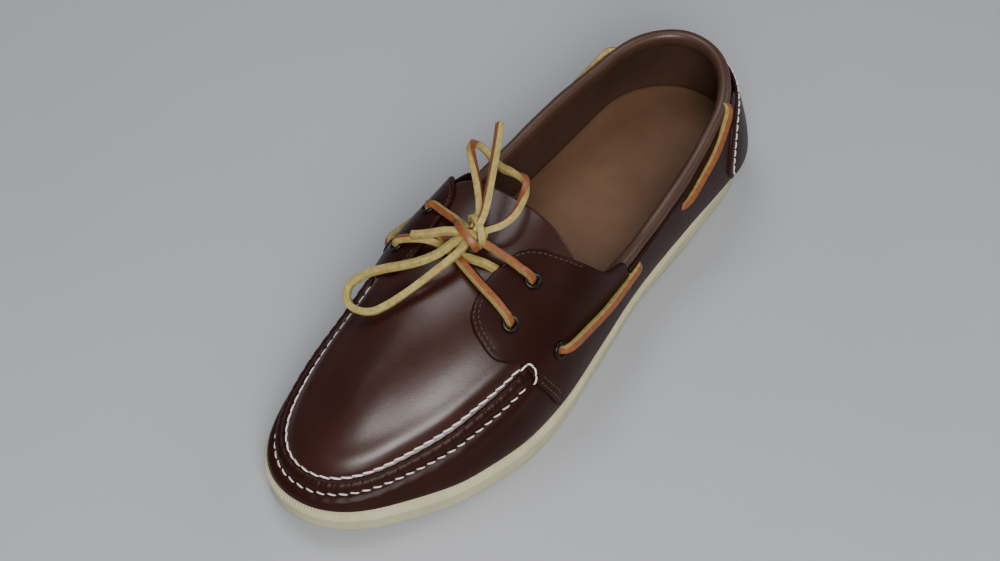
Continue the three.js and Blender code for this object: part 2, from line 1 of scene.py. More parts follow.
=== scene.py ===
"""Boat shoe, left foot: the looks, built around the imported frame.

Places on the shoe are given on its last, as in the CAD: a ring angle (degrees, 0 at the heel,
180 at the toe, negative on the medial side) and a rise angle (radians, 0 at the sole, a quarter
turn at the ridge of the instep). Lengths are millimetres until a mesh is made.
"""
import math

import bmesh
import bpy
import numpy as np
from mathutils import Matrix, Vector
from mathutils.geometry import delaunay_2d_cdt
from mathutils.kdtree import KDTree


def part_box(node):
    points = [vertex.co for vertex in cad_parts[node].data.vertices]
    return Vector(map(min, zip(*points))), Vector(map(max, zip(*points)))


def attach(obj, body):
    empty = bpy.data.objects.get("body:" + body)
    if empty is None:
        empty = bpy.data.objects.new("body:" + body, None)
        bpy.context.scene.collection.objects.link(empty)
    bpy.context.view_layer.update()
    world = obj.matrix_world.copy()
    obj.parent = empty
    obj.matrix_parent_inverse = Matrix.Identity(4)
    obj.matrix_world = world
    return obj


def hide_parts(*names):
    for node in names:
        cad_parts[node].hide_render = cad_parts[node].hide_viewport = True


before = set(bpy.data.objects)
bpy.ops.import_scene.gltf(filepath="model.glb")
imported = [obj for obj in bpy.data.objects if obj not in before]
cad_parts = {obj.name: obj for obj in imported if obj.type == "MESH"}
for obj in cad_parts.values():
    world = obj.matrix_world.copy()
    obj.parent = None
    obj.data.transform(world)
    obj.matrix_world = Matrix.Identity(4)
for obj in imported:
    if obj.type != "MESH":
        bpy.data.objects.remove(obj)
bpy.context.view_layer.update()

MM = 0.001
QUARTER = math.pi / 2

# ---------------------------------------------------------------- the last, as in the CAD
LENGTH = 300.0
WALL_INSET = 4.0          # the upper's wall stands in this far from the sole's outline
WALL_SETTLES = 0.5        # and below this rise it settles outwards to the ledge
LEATHER = 2.0
OVER = 0.5                # room under a piece laid over the upper
OVERLAY = 1.8             # thickness of the saddles, the quarters and the eyelets' seats
RIM_BEVEL = 3.5
INSOLE = 3.0
TOE_SPRING, SPRING_START = 6.5, 0.62
ARCH_LIFT, ARCH_FROM, ARCH_TO = 1.2, 0.30, 0.50
RIDGE_SPAN = 0.70
HEEL_ROUND, TOE_ROUND, ROUND_POWER = 0.13, 0.20, 2.1
THROAT_REAR, THROAT_FRONT = 85.5, 112.5
COLLAR_WIDTH, COLLAR_HEIGHT, COLLAR_PROUD, COLLAR_END = 6.0, 7.5, 0.7, 87.0
MEDIAL_SHIFT, MEDIAL_RISE = -3.0, 0.945
LACE = 3.2


def table(text):
    """Named columns of numbers, one row for each section."""
    lines = [line.split() for line in text.strip().splitlines()]
    rows = np.array([[float(v) for v in line] for line in lines[1:]])
    return {name: rows[:, i] for i, name in enumerate(lines[0])}


LAST = table("""
    at    lateral medial centre rim   ridgeX ridgeZ swellLat swellMed fullLat fullMed edge bottom  ledge
    0.00  36.0    34.5    0.0   20.5   0.0   100.0  1.0      1.0      1.80    1.80    2.5  4.0    2.0
    0.12  39.0    35.5    0.0   18.5   0.0   100.0  3.5      3.5      2.00    2.00    1.5  4.5   -0.2
    0.25  40.0    37.0    0.0   17.0  -1.0    96.0  6.5      7.5      2.30    2.30    0.0  5.5    0.4
    0.40  42.0    39.5    0.0   15.5  -3.0    86.0  6.0      7.5      2.40    2.80    0.0  6.0   0.75
    0.54  48.0    43.0    0.0   15.0  -4.0    77.0  4.0      4.5      2.40    3.20    0.0  4.0    1.1
    0.64  52.5    46.0    0.0   16.0  -4.0    71.5  3.0      3.5      2.35    2.90    0.0  2.5    1.6
    0.72  52.0    46.0    0.0   16.0  -3.5    65.5  2.5      2.5      2.25    2.40    0.0  2.0    1.7
    0.82  47.5    43.5   -3.5   15.5  -5.0    54.5  2.0      1.5      2.10    2.05    0.0  1.5    1.5
    0.91  43.0    41.5   -7.0   17.0  -7.0    43.5  1.5      1.0      1.95    1.90    0.0  1.5    1.8
    1.00  41.5    42.5   -9.0   19.0  -9.0    33.5  1.0      1.0      1.95    1.95    0.0  1.5    1.5""")
COLLAR_TOP = table("""
    at    lateral medial
    0.00  67.0    67.0
    0.06  65.8    65.8
    0.15  60.5    61.5
    0.28  52.5    56.5
    0.40  46.5    52.0
    0.50  49.0    50.5""")
SADDLE = table("""
    rise  rear   front
    0.075 90.0   108.5
    0.25  90.0   110.5
    0.48  90.0   113.0
    0.60  90.2   113.6
    0.70  91.4   114.6
    0.88  93.8   118.9
    1.06  96.4   120.1
    1.19  98.4   120.0
    1.27  100.6  118.6
    1.32  103.6  115.4
    1.345 108.0  111.5""")
# The moccasin seam: the raised lip's middle, and the lines of white stitches beside it.
SEAM = table("""
    from_toe  rise   inner  outer
    -66       0.60   0.680  0.497
    -50       0.56   0.655  0.440
    -25       0.50   0.610  0.380
    0         0.50   0.600  0.350
    25        0.48   0.590  0.340
    45        0.52   0.640  0.380
    66        0.70   0.800  0.560""")
PATCH = table("""
    rise  half
    0.055 45
    0.12  46.5
    0.19  46
    0.26  44.5
    0.34  42
    0.41  38.5
    0.46  33
    0.49  25
    0.505 12""")
PATCH_BASE, PATCH_THICK = 0.9, 1.7
EYELET_HOLE = 2.9         # radius of the hole in the leather
SOLE_EDGE = 0.075         # rise of the saddles' and quarters' lower edge
EYELETS = {"rear": (104.0, 1.093), "front": (112.8, 1.008), "side": (106.0, 0.517)}


def look(tab, name, at):
    """A smooth curve through one column of a table."""
    xs, ys = next(iter(tab.values())), tab[name]
    at = np.asarray(at, float)
    h = np.diff(xs)
    slope = np.diff(ys) / h
    tangent = np.empty_like(ys)
    tangent[0], tangent[-1] = slope[0], slope[-1]
    tangent[1:-1] = (slope[:-1] * h[1:] + slope[1:] * h[:-1]) / (h[:-1] + h[1:])
    i = np.clip(np.searchsorted(xs, at, side="right") - 1, 0, len(h) - 1)
    u = np.clip((at - xs[i]) / h[i], 0, 1)
    return ((2 * u**3 - 3 * u**2 + 1) * ys[i] + (u**3 - 2 * u**2 + u) * h[i] * tangent[i]
            + (3 * u**2 - 2 * u**3) * ys[i + 1] + (u**3 - u**2) * h[i] * tangent[i + 1])


def step(low, high, x):
    """A smooth rise from 0 at low to 1 at high."""
    u = np.clip((np.asarray(x, float) - low) / (high - low), 0, 1)
    return u * u * (3 - 2 * u)


def signed(turn):
    """Ring angles, brought between -180 and 180 degrees."""
    return (np.asarray(turn, float) + 180) % 360 - 180


def unit(v):
    return v / np.maximum(np.linalg.norm(v, axis=-1, keepdims=True), 1e-12)


def along(ring):
    """The share of the length at a ring angle, from 0 at the heel to 1 at the toe."""
    return (1 - np.cos(np.radians(ring))) / 2


def by_side(tab, ring, lateral, medial):
    at = along(ring)
    return np.where(np.sin(np.radians(ring)) >= 0, look(tab, lateral, at), look(tab, medial, at))


def outline(ring, inset):
    """The sole's outline in plan, so many millimetres inside its edge."""
    at = along(ring)
    heel = 1 - np.maximum((HEEL_ROUND - at) / HEEL_ROUND, 0) ** ROUND_POWER
    toe = 1 - np.maximum((at - 1 + TOE_ROUND) / TOE_ROUND, 0) ** ROUND_POWER
    ends = (np.maximum(heel, 0) * np.maximum(toe, 0)) ** (1 / ROUND_POWER)
    side = np.where(np.sin(np.radians(ring)) >= 0, 1, -1)
    half = by_side(LAST, ring, "lateral", "medial") - inset
    x = look(LAST, "centre", at) + side * half * ends
    return np.stack([x, (LENGTH / 2 - inset) * np.cos(np.radians(ring))], -1)


def rim_height(y):
    return look(LAST, "rim", 0.5 - y / LENGTH)


def last(ring, rise):
    """Points of the last."""
    ring, rise = np.broadcast_arrays(np.asarray(ring, float), np.asarray(rise, float))
    settled = 1 - step(0, WALL_SETTLES, rise)
    inset = WALL_INSET + (look(LAST, "ledge", along(ring)) - WALL_INSET) * settled
    foot = outline(ring, inset)
    turn = 0.06
    run = unit(outline(ring + turn, inset) - outline(ring - turn, inset))
    out = np.stack([run[..., 1], -run[..., 0]], -1)
    at = 0.5 + (along(ring) - 0.5) * RIDGE_SPAN
    ridge = np.stack([look(LAST, "ridgeX", at), LENGTH * (0.5 - at)], -1)
    out = out * np.sign(np.sum(out * (foot - ridge), -1))[..., None]
    power = 2 / by_side(LAST, ring, "fullLat", "fullMed")
    swell = by_side(LAST, ring, "swellLat", "swellMed") * np.sin(2 * rise)
    inward = (1 - np.maximum(np.cos(rise), 0) ** power)[..., None]
    plan = foot + (ridge - foot) * inward + out * swell[..., None]
    base = rim_height(foot[..., 1])
    top = look(LAST, "ridgeZ", 0.5 - plan[..., 1] / LENGTH)
    return np.concatenate([plan, (base + (top - base) * np.sin(rise) ** power)[..., None]], -1)


def last_normal(ring, rise):
    """Unit vectors out of the last, turning smoothly over the ridge."""
    ring, rise = np.broadcast_arrays(np.asarray(ring, float), np.asarray(rise, float))
    low = np.clip(rise, 0.02, QUARTER - 0.05)
    d = 2e-3
    round_ = last(ring + np.degrees(d), low) - last(ring - np.degrees(d), low)
    rising = last(ring, low + d) - last(ring, low - d)
    n = unit(np.cross(round_, rising))
    place = last(ring, low)
    away = place * np.array([1, 0.3, 1]) - np.array([-4.0, 0, 20])
    n = n * np.sign(np.sum(n * away, -1))[..., None]
    y = last(ring, rise)[..., 1]
    at = 0.5 - y / LENGTH
    slope = [(look(LAST, c, at - 0.01) - look(LAST, c, at + 0.01)) / (0.02 * LENGTH)
             for c in ("ridgeX", "ridgeZ")]
    up = unit(np.stack([np.zeros_like(y), -slope[1], np.ones_like(y)], -1))
    share = step(QUARTER - 0.14, QUARTER, rise)[..., None]
    return unit(n * (1 - share) + up * share)


def off(ring, rise, distance):
    """Points a distance off the last."""
    d = np.asarray(distance, float)
    return last(ring, rise) + last_normal(ring, rise) * (d[..., None] if d.ndim else d)


def rise_at_height(ring, height):
    """The rise at which the last reaches a height, found by halving."""
    low, high = np.zeros_like(ring), np.full_like(ring, QUARTER)
    for _ in range(30):
        middle = (low + high) / 2
        under = last(ring, middle)[..., 2] < height
        low, high = np.where(under, middle, low), np.where(under, high, middle)
    return (low + high) / 2


def collar_top(ring):
    return by_side(COLLAR_TOP, ring, "lateral", "medial")


def upper_edge(ring):
    """Rise of the upper's top edge: under the collar, then round the throat to the ridge."""
    ring = np.asarray(ring, float)
    turn = np.abs(ring)
    room = COLLAR_HEIGHT + 0.75
    held = np.sign(ring) * np.minimum(turn, THROAT_REAR)
    start = rise_at_height(held, collar_top(held) - room)
    share = np.clip((turn - THROAT_REAR) / (THROAT_FRONT - THROAT_REAR), 0, 1)
    return start + (QUARTER - start) * (1 - np.sqrt(1 - share * share))


def on_side(side, ring, rise):
    """Where a place given on the lateral side is found on the side asked for."""
    ring, rise = np.asarray(ring, float), np.asarray(rise, float)
    if side == "lateral":
        return ring, rise
    share = step(0.5, 1.0, rise)
    return -(ring + MEDIAL_SHIFT * share), rise * (1 + (MEDIAL_RISE - 1) * share)


# The CAD's origin is shifted from the last's; its outsole shows by how much.
_columns = signed(np.arange(80) * 4.5)
_sole_box = [Vector(c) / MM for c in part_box("outsole")]
_widest = outline(_columns, look(LAST, "edge", along(_columns)))[:, 0].max()
SHIFT = np.array([_sole_box[1].x - _widest, _sole_box[0].y + LENGTH / 2, 0.0])


# ---------------------------------------------------------------- meshes
def make(name, points, faces, materials, stage=False, index=None):
    """A smooth-shaded piece from points in millimetres, riding on the shoe or staged beside it."""
    mesh = bpy.data.meshes.new(name)
    points = (np.asarray(points, float).reshape(-1, 3) + (0 if stage else SHIFT)) * MM
    mesh.from_pydata(points.tolist(), [], [tuple(int(i) for i in f) for f in faces])
    mesh.update()
    piece = bpy.data.objects.new(name, mesh)
    bpy.context.scene.collection.objects.link(piece)
    for material in materials if isinstance(materials, (list, tuple)) else [materials]:
        mesh.materials.append(material)
    if index is not None:
        mesh.polygons.foreach_set("material_index", np.asarray(index, np.int32))
    mesh.polygons.foreach_set("use_smooth", np.full(len(mesh.polygons), True))
    if stage:
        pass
    else:
        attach(piece, "root")
    return piece


def quads(rows, columns, ring=False, start=0, flip=False):
    """Faces of a grid of points, row by row."""
    across = columns if ring else columns - 1
    j, i = np.meshgrid(np.arange(rows - 1), np.arange(across), indexing="ij")
    n = (i + 1) % columns
    low, high = j * columns, (j + 1) * columns
    f = np.stack([low + i, low + n, high + n, high + i], -1).reshape(-1, 4) + start
    return f[:, ::-1] if flip else f


def tidy(piece, weld=0.02):
    """Joins equal points and turns the faces outwards."""
    b = bmesh.new()
    b.from_mesh(piece.data)
    bmesh.ops.remove_doubles(b, verts=b.verts, dist=weld * MM)
    bmesh.ops.dissolve_degenerate(b, edges=b.edges, dist=1e-6)
    bmesh.ops.recalc_face_normals(b, faces=b.faces)
    b.to_mesh(piece.data)
    b.free()
    return piece


def tube_rings(path, section, up=(0, 0, 1.0), twist=0.0, scale=1.0):
    """Sections set square to a path; up is where the section's y points at the start. The twist,
    in degrees, is one number or a column of them."""
    path = np.asarray(path, float)
    run = unit(np.gradient(path, axis=0))
    side = np.cross(run[0], up)
    side = unit(side if np.linalg.norm(side) > 1e-6 else np.array([1.0, 0, 0]))
    sides = []
    for tangent in run:
        side = unit(side - tangent * (side @ tangent))
        sides.append(side)
    sides = np.array(sides)
    ups = np.cross(sides, run)
    turn = np.radians(np.reshape(twist, (-1, 1)))
    a = sides * np.cos(turn) + ups * np.sin(turn)
    b = ups * np.cos(turn) - sides * np.sin(turn)
    k = np.reshape(scale, (-1, 1, 1))
    return (path[:, None] + section[None, :, :1] * a[:, None] * k
            + section[None, :, 1:] * b[:, None] * k)


def capped(rings):
    """Points and faces of a closed tube through rings of points."""
    n, m = rings.shape[:2]
    points = np.concatenate([rings.reshape(-1, 3), rings[:1].mean(1), rings[-1:].mean(1)])
    faces = quads(n, m, ring=True).tolist()
    i = np.arange(m)
    faces += [[n * m, (k + 1) % m, k] for k in i]
    faces += [[n * m + 1, (n - 1) * m + k, (n - 1) * m + (k + 1) % m] for k in i]
    return points, faces


def oval(sides, a, b):
    """An oval section with the radii a and b."""
    t = np.arange(sides) / sides * 2 * math.pi
    return np.stack([np.cos(t) * a, np.sin(t) * b], -1)


def spline(points, spacing):
    """A smooth curve through points, resampled evenly."""
    p = np.asarray(points, float)
    knots = np.concatenate([[0], np.cumsum(np.sqrt(np.linalg.norm(np.diff(p, axis=0), axis=1)))])
    tangent = np.gradient(p, knots, axis=0)
    fine = []
    for i in range(len(p) - 1):
        u = np.linspace(0, 1, 24, endpoint=False)[:, None]
        h = knots[i + 1] - knots[i]
        fine.append((2 * u**3 - 3 * u**2 + 1) * p[i] + (u**3 - 2 * u**2 + u) * h * tangent[i]
                    + (3 * u**2 - 2 * u**3) * p[i + 1] + (u**3 - u**2) * h * tangent[i + 1])
    return even(np.concatenate(fine + [p[-1:]]), spacing)


def run_of(path):
    """The way along a path to each of its points."""
    return np.concatenate([[0], np.cumsum(np.linalg.norm(np.diff(path, axis=0), axis=1))])


def even(path, spacing):
    """A path's points, set evenly along it."""
    path = np.asarray(path, float)
    s = run_of(path)
    count = max(int(round(s[-1] / spacing)), 2)
    at = np.linspace(0, s[-1], count + 1)
    return np.stack([np.interp(at, s, path[:, k]) for k in range(path.shape[1])], -1)


# ---------------------------------------------------------------- materials
class Nodes:
    """A small helper for building a material's nodes."""

    def __init__(self, name):
        self.material = bpy.data.materials.new(name)
        self.material.use_nodes = True
        self.tree = self.material.node_tree
        self.shader = self.tree.nodes["Principled BSDF"]
        self.place = self.add("ShaderNodeTexCoord").outputs["Object"]

    def add(self, kind, **inputs):
        node = self.tree.nodes.new(kind)
        for key, value in inputs.items():
            self.set(node, key.replace("_", " "), value)
        return node

    def set(self, node, name, value):
        socket = node.inputs[name]
        if isinstance(value, bpy.types.NodeSocket):
            self.tree.links.new(value, socket)
        else:
            socket.default_value = value

    def noise(self, scale, detail=4.0, roughness=0.55):
        node = self.add("ShaderNodeTexNoise", Vector=self.place, Scale=scale, Detail=detail,
                        Roughness=roughness)
        return node.outputs["Fac"]

    def cells(self, scale):
        node = self.add("ShaderNodeTexVoronoi", Vector=self.place, Scale=scale)
        return node.outputs["Distance"]

    def ramp(self, value, *stops):
        node = self.add("ShaderNodeValToRGB", Fac=value)
        for i, (at, colour) in enumerate(stops):
            element = node.color_ramp.elements[i] if i < 2 else node.color_ramp.elements.new(at)
            element.position = at
            element.color = (*colour, 1)
        return node.outputs[0]

    def math(self, kind, a, b):
        node = self.tree.nodes.new("ShaderNodeMath")
        node.operation = kind
        for i, value in enumerate((a, b)):
            self.set(node, i, value)
        return node.outputs[0]

    def span(self, value, low, high):
        """A value from 0 to 1 spread from low to high."""
        return self.math("ADD", self.math("MULTIPLY", value, high - low), low)

    def bump(self, height, strength, distance, normal=None):
        node = self.add("ShaderNodeBump", Height=height, Strength=strength, Distance=distance * MM)
        if normal is not None:
            self.set(node, "Normal", normal)
        return node.outputs[0]

    def done(self, **sockets):
        for key, value in sockets.items():
            self.set(self.shader, key.replace("_", " "), value)
        return self.material


def leather(name, dark, light, rough=(0.27, 0.38), grain=1.0, gloss=0.42):
    m = Nodes(name)
    colour = m.ramp(m.noise(26.0, 5.0, 0.6), (0.25, dark), (0.75, light))
    roughness = m.span(m.noise(90.0, 4.0), *rough)
    pores = m.bump(m.cells(1500.0), 0.10 * grain, 0.12)
    fine = m.bump(m.noise(2600.0, 2.0), 0.06 * grain, 0.10, pores)
    wavy = m.bump(m.noise(140.0, 3.0), 0.18 * grain, 0.35, fine)
    return m.done(Base_Color=colour, Roughness=roughness, Normal=wavy, Specular_IOR_Level=gloss)


def rubber(name, dark, light):
    m = Nodes(name)
    colour = m.ramp(m.noise(60.0, 6.0, 0.65), (0.3, dark), (0.7, light))
    bump = m.bump(m.noise(1800.0, 3.0), 0.12, 0.1)
    return m.done(Base_Color=colour, Roughness=m.span(m.noise(220.0), 0.55, 0.72), Normal=bump)


def rawhide(name, dark, light, rough, nap):
    m = Nodes(name)
    colour = m.ramp(m.noise(420.0, 5.0, 0.7), (0.25, dark), (0.78, light))
    bump = m.bump(m.noise(2400.0, 3.0, 0.7), nap, 0.15)
    bump = m.bump(m.noise(700.0, 3.0), nap * 0.7, 0.2, bump)
    return m.done(Base_Color=colour, Roughness=m.span(m.noise(900.0), *rough), Normal=bump)


def thread(name, dark, light):
    m = Nodes(name)
    colour = m.ramp(m.noise(900.0, 3.0), (0.3, dark), (0.7, light))
    bump = m.bump(m.noise(4200.0, 2.0), 0.3, 0.08)
    return m.done(Base_Color=colour, Roughness=m.span(m.noise(1500.0), 0.55, 0.75), Normal=bump)


def enamel(name, dark, light):
    m = Nodes(name)
    colour = m.ramp(m.noise(500.0, 4.0), (0.45, dark), (0.85, light))
    bump = m.bump(m.noise(1300.0, 3.0), 0.08, 0.05)
    return m.done(Base_Color=colour, Roughness=m.span(m.noise(800.0), 0.25, 0.42), Metallic=0.6,
                  Normal=bump)


def floor_paint():
    m = Nodes("floor")
    colour = m.ramp(m.noise(3.0, 3.0), (0.3, (0.37, 0.38, 0.40)), (0.7, (0.40, 0.41, 0.43)))
    return m.done(Base_Color=colour, Roughness=m.span(m.noise(40.0), 0.55, 0.65),
                  Normal=m.bump(m.noise(900.0), 0.04, 0.1))


BROWN = leather("brown_leather", (0.021, 0.0046, 0.0026), (0.037, 0.0092, 0.0054))
# the same brown leather, matte, with a darker colour that is painted shade, for the wall, the lip and the
# pieces laid over the upper
BROWN_MATTE_SHADED = leather("brown_leather_matte_painted_shade", (0.015, 0.0033, 0.0019), (0.026, 0.0066, 0.0040),
                     rough=(0.34, 0.46), gloss=0.13)
BROWN_ROLL = leather("collar_leather", (0.044, 0.0195, 0.0112), (0.072, 0.034, 0.0195),
                     rough=(0.32, 0.46), grain=1.3)
LINING = leather("lining_leather", (0.040, 0.019, 0.011), (0.066, 0.034, 0.021),
                 rough=(0.50, 0.66), grain=1.6, gloss=0.3)
SOCK = leather("sock_leather", (0.095, 0.046, 0.024), (0.145, 0.076, 0.042), rough=(0.52, 0.68),
               grain=1.4, gloss=0.3)
CREAM = rubber("cream_rubber", (0.42, 0.385, 0.235), (0.53, 0.49, 0.315))
GRAIN_FACE = rawhide("lace_grain_face", (0.13, 0.036, 0.009), (0.30, 0.096, 0.024), (0.36, 0.5), 0.3)
FLESH_FACE = rawhide("lace_flesh_face", (0.21, 0.145, 0.034), (0.50, 0.395, 0.13), (0.6, 0.8), 0.8)
WHITE = thread("white_thread", (0.70, 0.60, 0.55), (0.90, 0.83, 0.78))
TONAL = thread("tonal_thread", (0.040, 0.018, 0.014), (0.090, 0.048, 0.038))
ENAMEL = enamel("eyelet_enamel", (0.010, 0.008, 0.007), (0.055, 0.040, 0.030))


# ---------------------------------------------------------------- camera
VIEW = {"azimuth": 39.33, "elevation": 49.51, "distance": 858.5, "roll": -2.1,
        "aim": (-35.83, -10.62, 21.08), "field": 35.05, "closer": 1.2, "across": 0.054, "up": -0.021}


def camera():
    """A camera at a distance from its aim; closer, across and up frame the one shoe."""
    data = bpy.data.cameras.new("camera")
    data.lens = data.sensor_width / 2 / math.tan(math.radians(VIEW["field"] / 2)) * VIEW["closer"]
    data.shift_x, data.shift_y = VIEW["across"], VIEW["up"]
    data.dof.use_dof = False
    cam = bpy.data.objects.new("camera", data)
    bpy.context.scene.collection.objects.link(cam)
    a, e, r = (math.radians(VIEW[k]) for k in ("azimuth", "elevation", "roll"))
    back = np.array([math.sin(a) * math.cos(e), -math.cos(a) * math.cos(e), math.sin(e)])
    right = np.array([math.cos(a), math.sin(a), 0.0])
    up = np.cross(back, right)
    right, up = right * math.cos(r) + up * math.sin(r), up * math.cos(r) - right * math.sin(r)
    spot = (np.array(VIEW["aim"]) + back * VIEW["distance"] + SHIFT) * MM
    cam.matrix_world = Matrix([[right[k], up[k], back[k], spot[k]] for k in range(3)] + [[0, 0, 0, 1]])
    bpy.context.scene.camera = cam


camera()


# ---------------------------------------------------------------- laces
def square(width, corner=0.45):
    """A square section with soft corners; its first side, at +y, is the smooth grain face."""
    h = width / 2
    points = []
    for quarter in range(4):
        a = math.radians(135 - 90 * quarter)
        cx, cy = math.copysign(h - corner, math.cos(a)), math.copysign(h - corner, math.sin(a))
        for k in (-1, -0.33, 0.33, 1):
            b = a - math.radians(45 * k)
            points.append((cx + corner * math.cos(b), cy + corner * math.sin(b)))
    return np.array(points)


GRAIN_COLUMNS = range(1, 6)   # the first side of the square section, and its corners with it


def lace(name, path, up=(0, 0, 1.0), twist=(0, 0), nodes=()):
    """A rawhide strip along a path, the grain on its +y face, twisted by degrees spread evenly."""
    path = spline(path, 0.8)
    section = square(LACE - 0.15)
    share = np.linspace(0, 1, len(path))
    points, faces = capped(tube_rings(path, section, up,
                                      np.interp(share, np.linspace(0, 1, len(twist)), twist)))
    sides = (len(path) - 1) * len(section)
    index = [int(k < sides and k % len(section) in GRAIN_COLUMNS) for k in range(len(faces))]
    piece = make(name, points, faces, [FLESH_FACE, GRAIN_FACE], index=index)
    if nodes:
        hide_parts(*nodes)
    return piece, path


# Routes of the bow's cords, the same as the CAD's.
LOOPS = {
    "front": [(-6.4, -41.4, 81.4), (-8.2, -49.2, 80.6), (-12.4, -55.0, 78.6), (-18.6, -59.6, 75.6),
              (-25.2, -63.2, 72.4), (-31.0, -67.2, 69.2), (-34.9, -71.4, 66.0), (-36.2, -75.0, 63.4),
              (-34.9, -78.0, 61.4), (-31.4, -80.2, 60.4), (-26.0, -80.4, 60.8), (-20.2, -78.4, 62.8),
              (-16.2, -73.8, 65.4), (-12.8, -68.2, 68.4), (-9.2, -61.6, 72.2), (-6.0, -55.0, 75.8),
              (-3.4, -48.6, 78.6), (-1.9, -41.0, 80.6)],
    "rear": [(-4.6, -26.4, 84.6), (-7.0, -22.4, 86.4), (-12.0, -16.8, 88.6), (-18.8, -10.2, 90.4),
             (-24.4, -5.0, 91.6), (-28.6, 0.2, 90.6), (-29.6, 5.4, 86.6), (-26.2, 7.6, 82.6),
             (-20.4, 5.2, 82.2), (-13.4, 2.2, 84.6), (-5.6, 0.4, 87.6), (1.2, -1.6, 89.6),
             (4.4, -5.8, 89.2), (6.6, -12.0, 88.0), (7.2, -18.0, 86.2), (5.4, -23.4, 84.2),
             (2.2, -27.2, 82.8)],
}
# Each loop runs on into the knot at both ends, and each end starts inside it.
LOOP_ROOTS = {"front": [(-5.2, -35.6, 81.0), (-3.4, -35.0, 80.4)],
              "rear": [(-3.4, -31.6, 83.0), (-1.6, -31.6, 81.8)]}
ENDS = {
    "front": [(3.0, -32.4, 80.8), (-1.2, -33.4, 81.8), (-6.0, -35.4, 82.6), (-11.0, -38.0, 82.4),
              (-14.0, -40.2, 82.0), (-17.4, -42.6, 80.8), (-21.2, -44.6, 79.4), (-24.8, -46.2, 78.2)],
    "rear": [(-1.0, -33.6, 85.0), (-1.4, -28.0, 88.0), (-3.4, -22.4, 90.6), (-7.4, -14.4, 93.6),
             (-11.8, -5.9, 96.2), (-16.4, 2.6, 98.6), (-20.8, 10.2, 100.4)],
}


LOOP_TWIST = {"front": (150, 165, 200, 180, 200), "rear": (-90, -80, -30, -20, -150, -170)}
END_TWIST = {"front": (180, 180), "rear": (60, 40)}


def bow():
    wraps = {
        # over the front of the knot, from the medial top to the lateral foot
        "lace_knot_band": [(-9.6, -31.0, 80.6), (-9.4, -33.6, 84.0), (-6.2, -36.4, 86.0),
                           (-1.6, -38.2, 86.0), (2.0, -38.6, 83.4), (2.6, -37.4, 80.4),
                           (1.6, -35.0, 78.9)],
        "lace_knot_turn": [(-6.6, -27.2, 79.8), (-7.4, -27.6, 83.2), (-5.2, -28.6, 85.8),
                           (-1.0, -31.0, 86.6), (2.2, -33.6, 84.6), (2.8, -34.4, 81.2),
                           (1.4, -33.4, 79.2)],
        "lace_knot_core": [(-8.8, -37.0, 79.6), (-5.6, -36.8, 80.4), (-3.2, -34.4, 81.2),
                           (-1.4, -31.0, 81.0), (1.8, -28.8, 80.2)],
    }
    outward = {"lace_knot_band": (-0.91, 0.42, 0), "lace_knot_turn": (0.82, -0.56, 0),
               "lace_knot_core": (0, 0, 1)}
    knot = [lace(name, points, up=outward[name])[0] for name, points in wraps.items()]
    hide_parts("lace_knot")
    for end, on_it in (("front", knot), ("rear", knot[:1])):
        start, stop = LOOP_ROOTS[end]
        piece, path = lace(f"bow_loop_{end}", [start, *LOOPS[end], stop], twist=LOOP_TWIST[end],
                           nodes=[f"lace_loop_{end}"])
    for end, points in ENDS.items():
        piece, path = lace(f"bow_end_{end}", points, twist=END_TWIST[end], nodes=[f"lace_end_{end}"])


def through_eyelet(side, name, towards):
    """The last points of a lace that comes over an eyelet's rim and goes down its hole."""
    ring, rise = on_side(side, *EYELETS[name])
    n = last_normal(ring, rise)
    middle = off(ring, rise, OVER + OVERLAY)
    run = unit(np.asarray(towards, float) - middle)
    run = unit(run - n * (run @ n))
    return [middle + run * 5.6 + n * 2.5, middle + run * 3.0 + n * 2.4, middle + run * 0.9 + n * 1.0,
            middle + n * -1.6, middle - run * 0.2 + n * -3.4]


def bound_laces():
    low = [(-24.0, -43.3, 73.9), (-19.0, -42.0, 74.6), (-13.0, -41.0, 74.4), (-6.0, -40.8, 74.3),
           (1.0, -39.4, 74.4), (6.0, -37.8, 73.9), (9.6, -36.6, 72.6), (13.2, -35.4, 70.6)]
    high = [(21.5, -49.6, 71.8), (14.5, -48.6, 74.2), (6.0, -46.4, 75.6), (-1.5, -44.0, 76.3),
            (-7.5, -41.6, 76.6), (-12.0, -39.4, 75.8), (-17.5, -37.4, 74.0), (-22.0, -36.0, 72.0)]
    first = through_eyelet("medial", "front", low[0])[::-1] + low
    second = through_eyelet("lateral", "front", high[0])[::-1] + high
    lace("lace_low", first, up=(-1.0, 0, 0), twist=(0, 0, 60, 165, 180), nodes=["lace_crossing"])
    lace("lace_high", second, up=(1.0, 0, 0.2), nodes=["lace_crossing"])
    ties = {
        "lateral": [(22.5, -31.6, 74.6), (17.0, -31.8, 76.4), (11.0, -32.2, 77.8), (4.8, -32.7, 79.3),
                    (-0.6, -33.2, 80.2)],
        "medial": [(-28.2, -25.8, 76.2), (-23.0, -27.2, 77.4), (-17.5, -28.6, 78.8),
                   (-12.6, -30.2, 80.2), (-6.4, -32.0, 80.8)],
    }
    for side, sign, twist in (("lateral", 1.0, (0, 0)), ("medial", -1.0, (-35, -55))):
        start = through_eyelet(side, "rear", ties[side][0])[::-1]
        lace(f"lace_rear_{side}", start + ties[side], up=(sign, 0, 0.2), twist=twist,
             nodes=[f"lace_tie_{side}"])


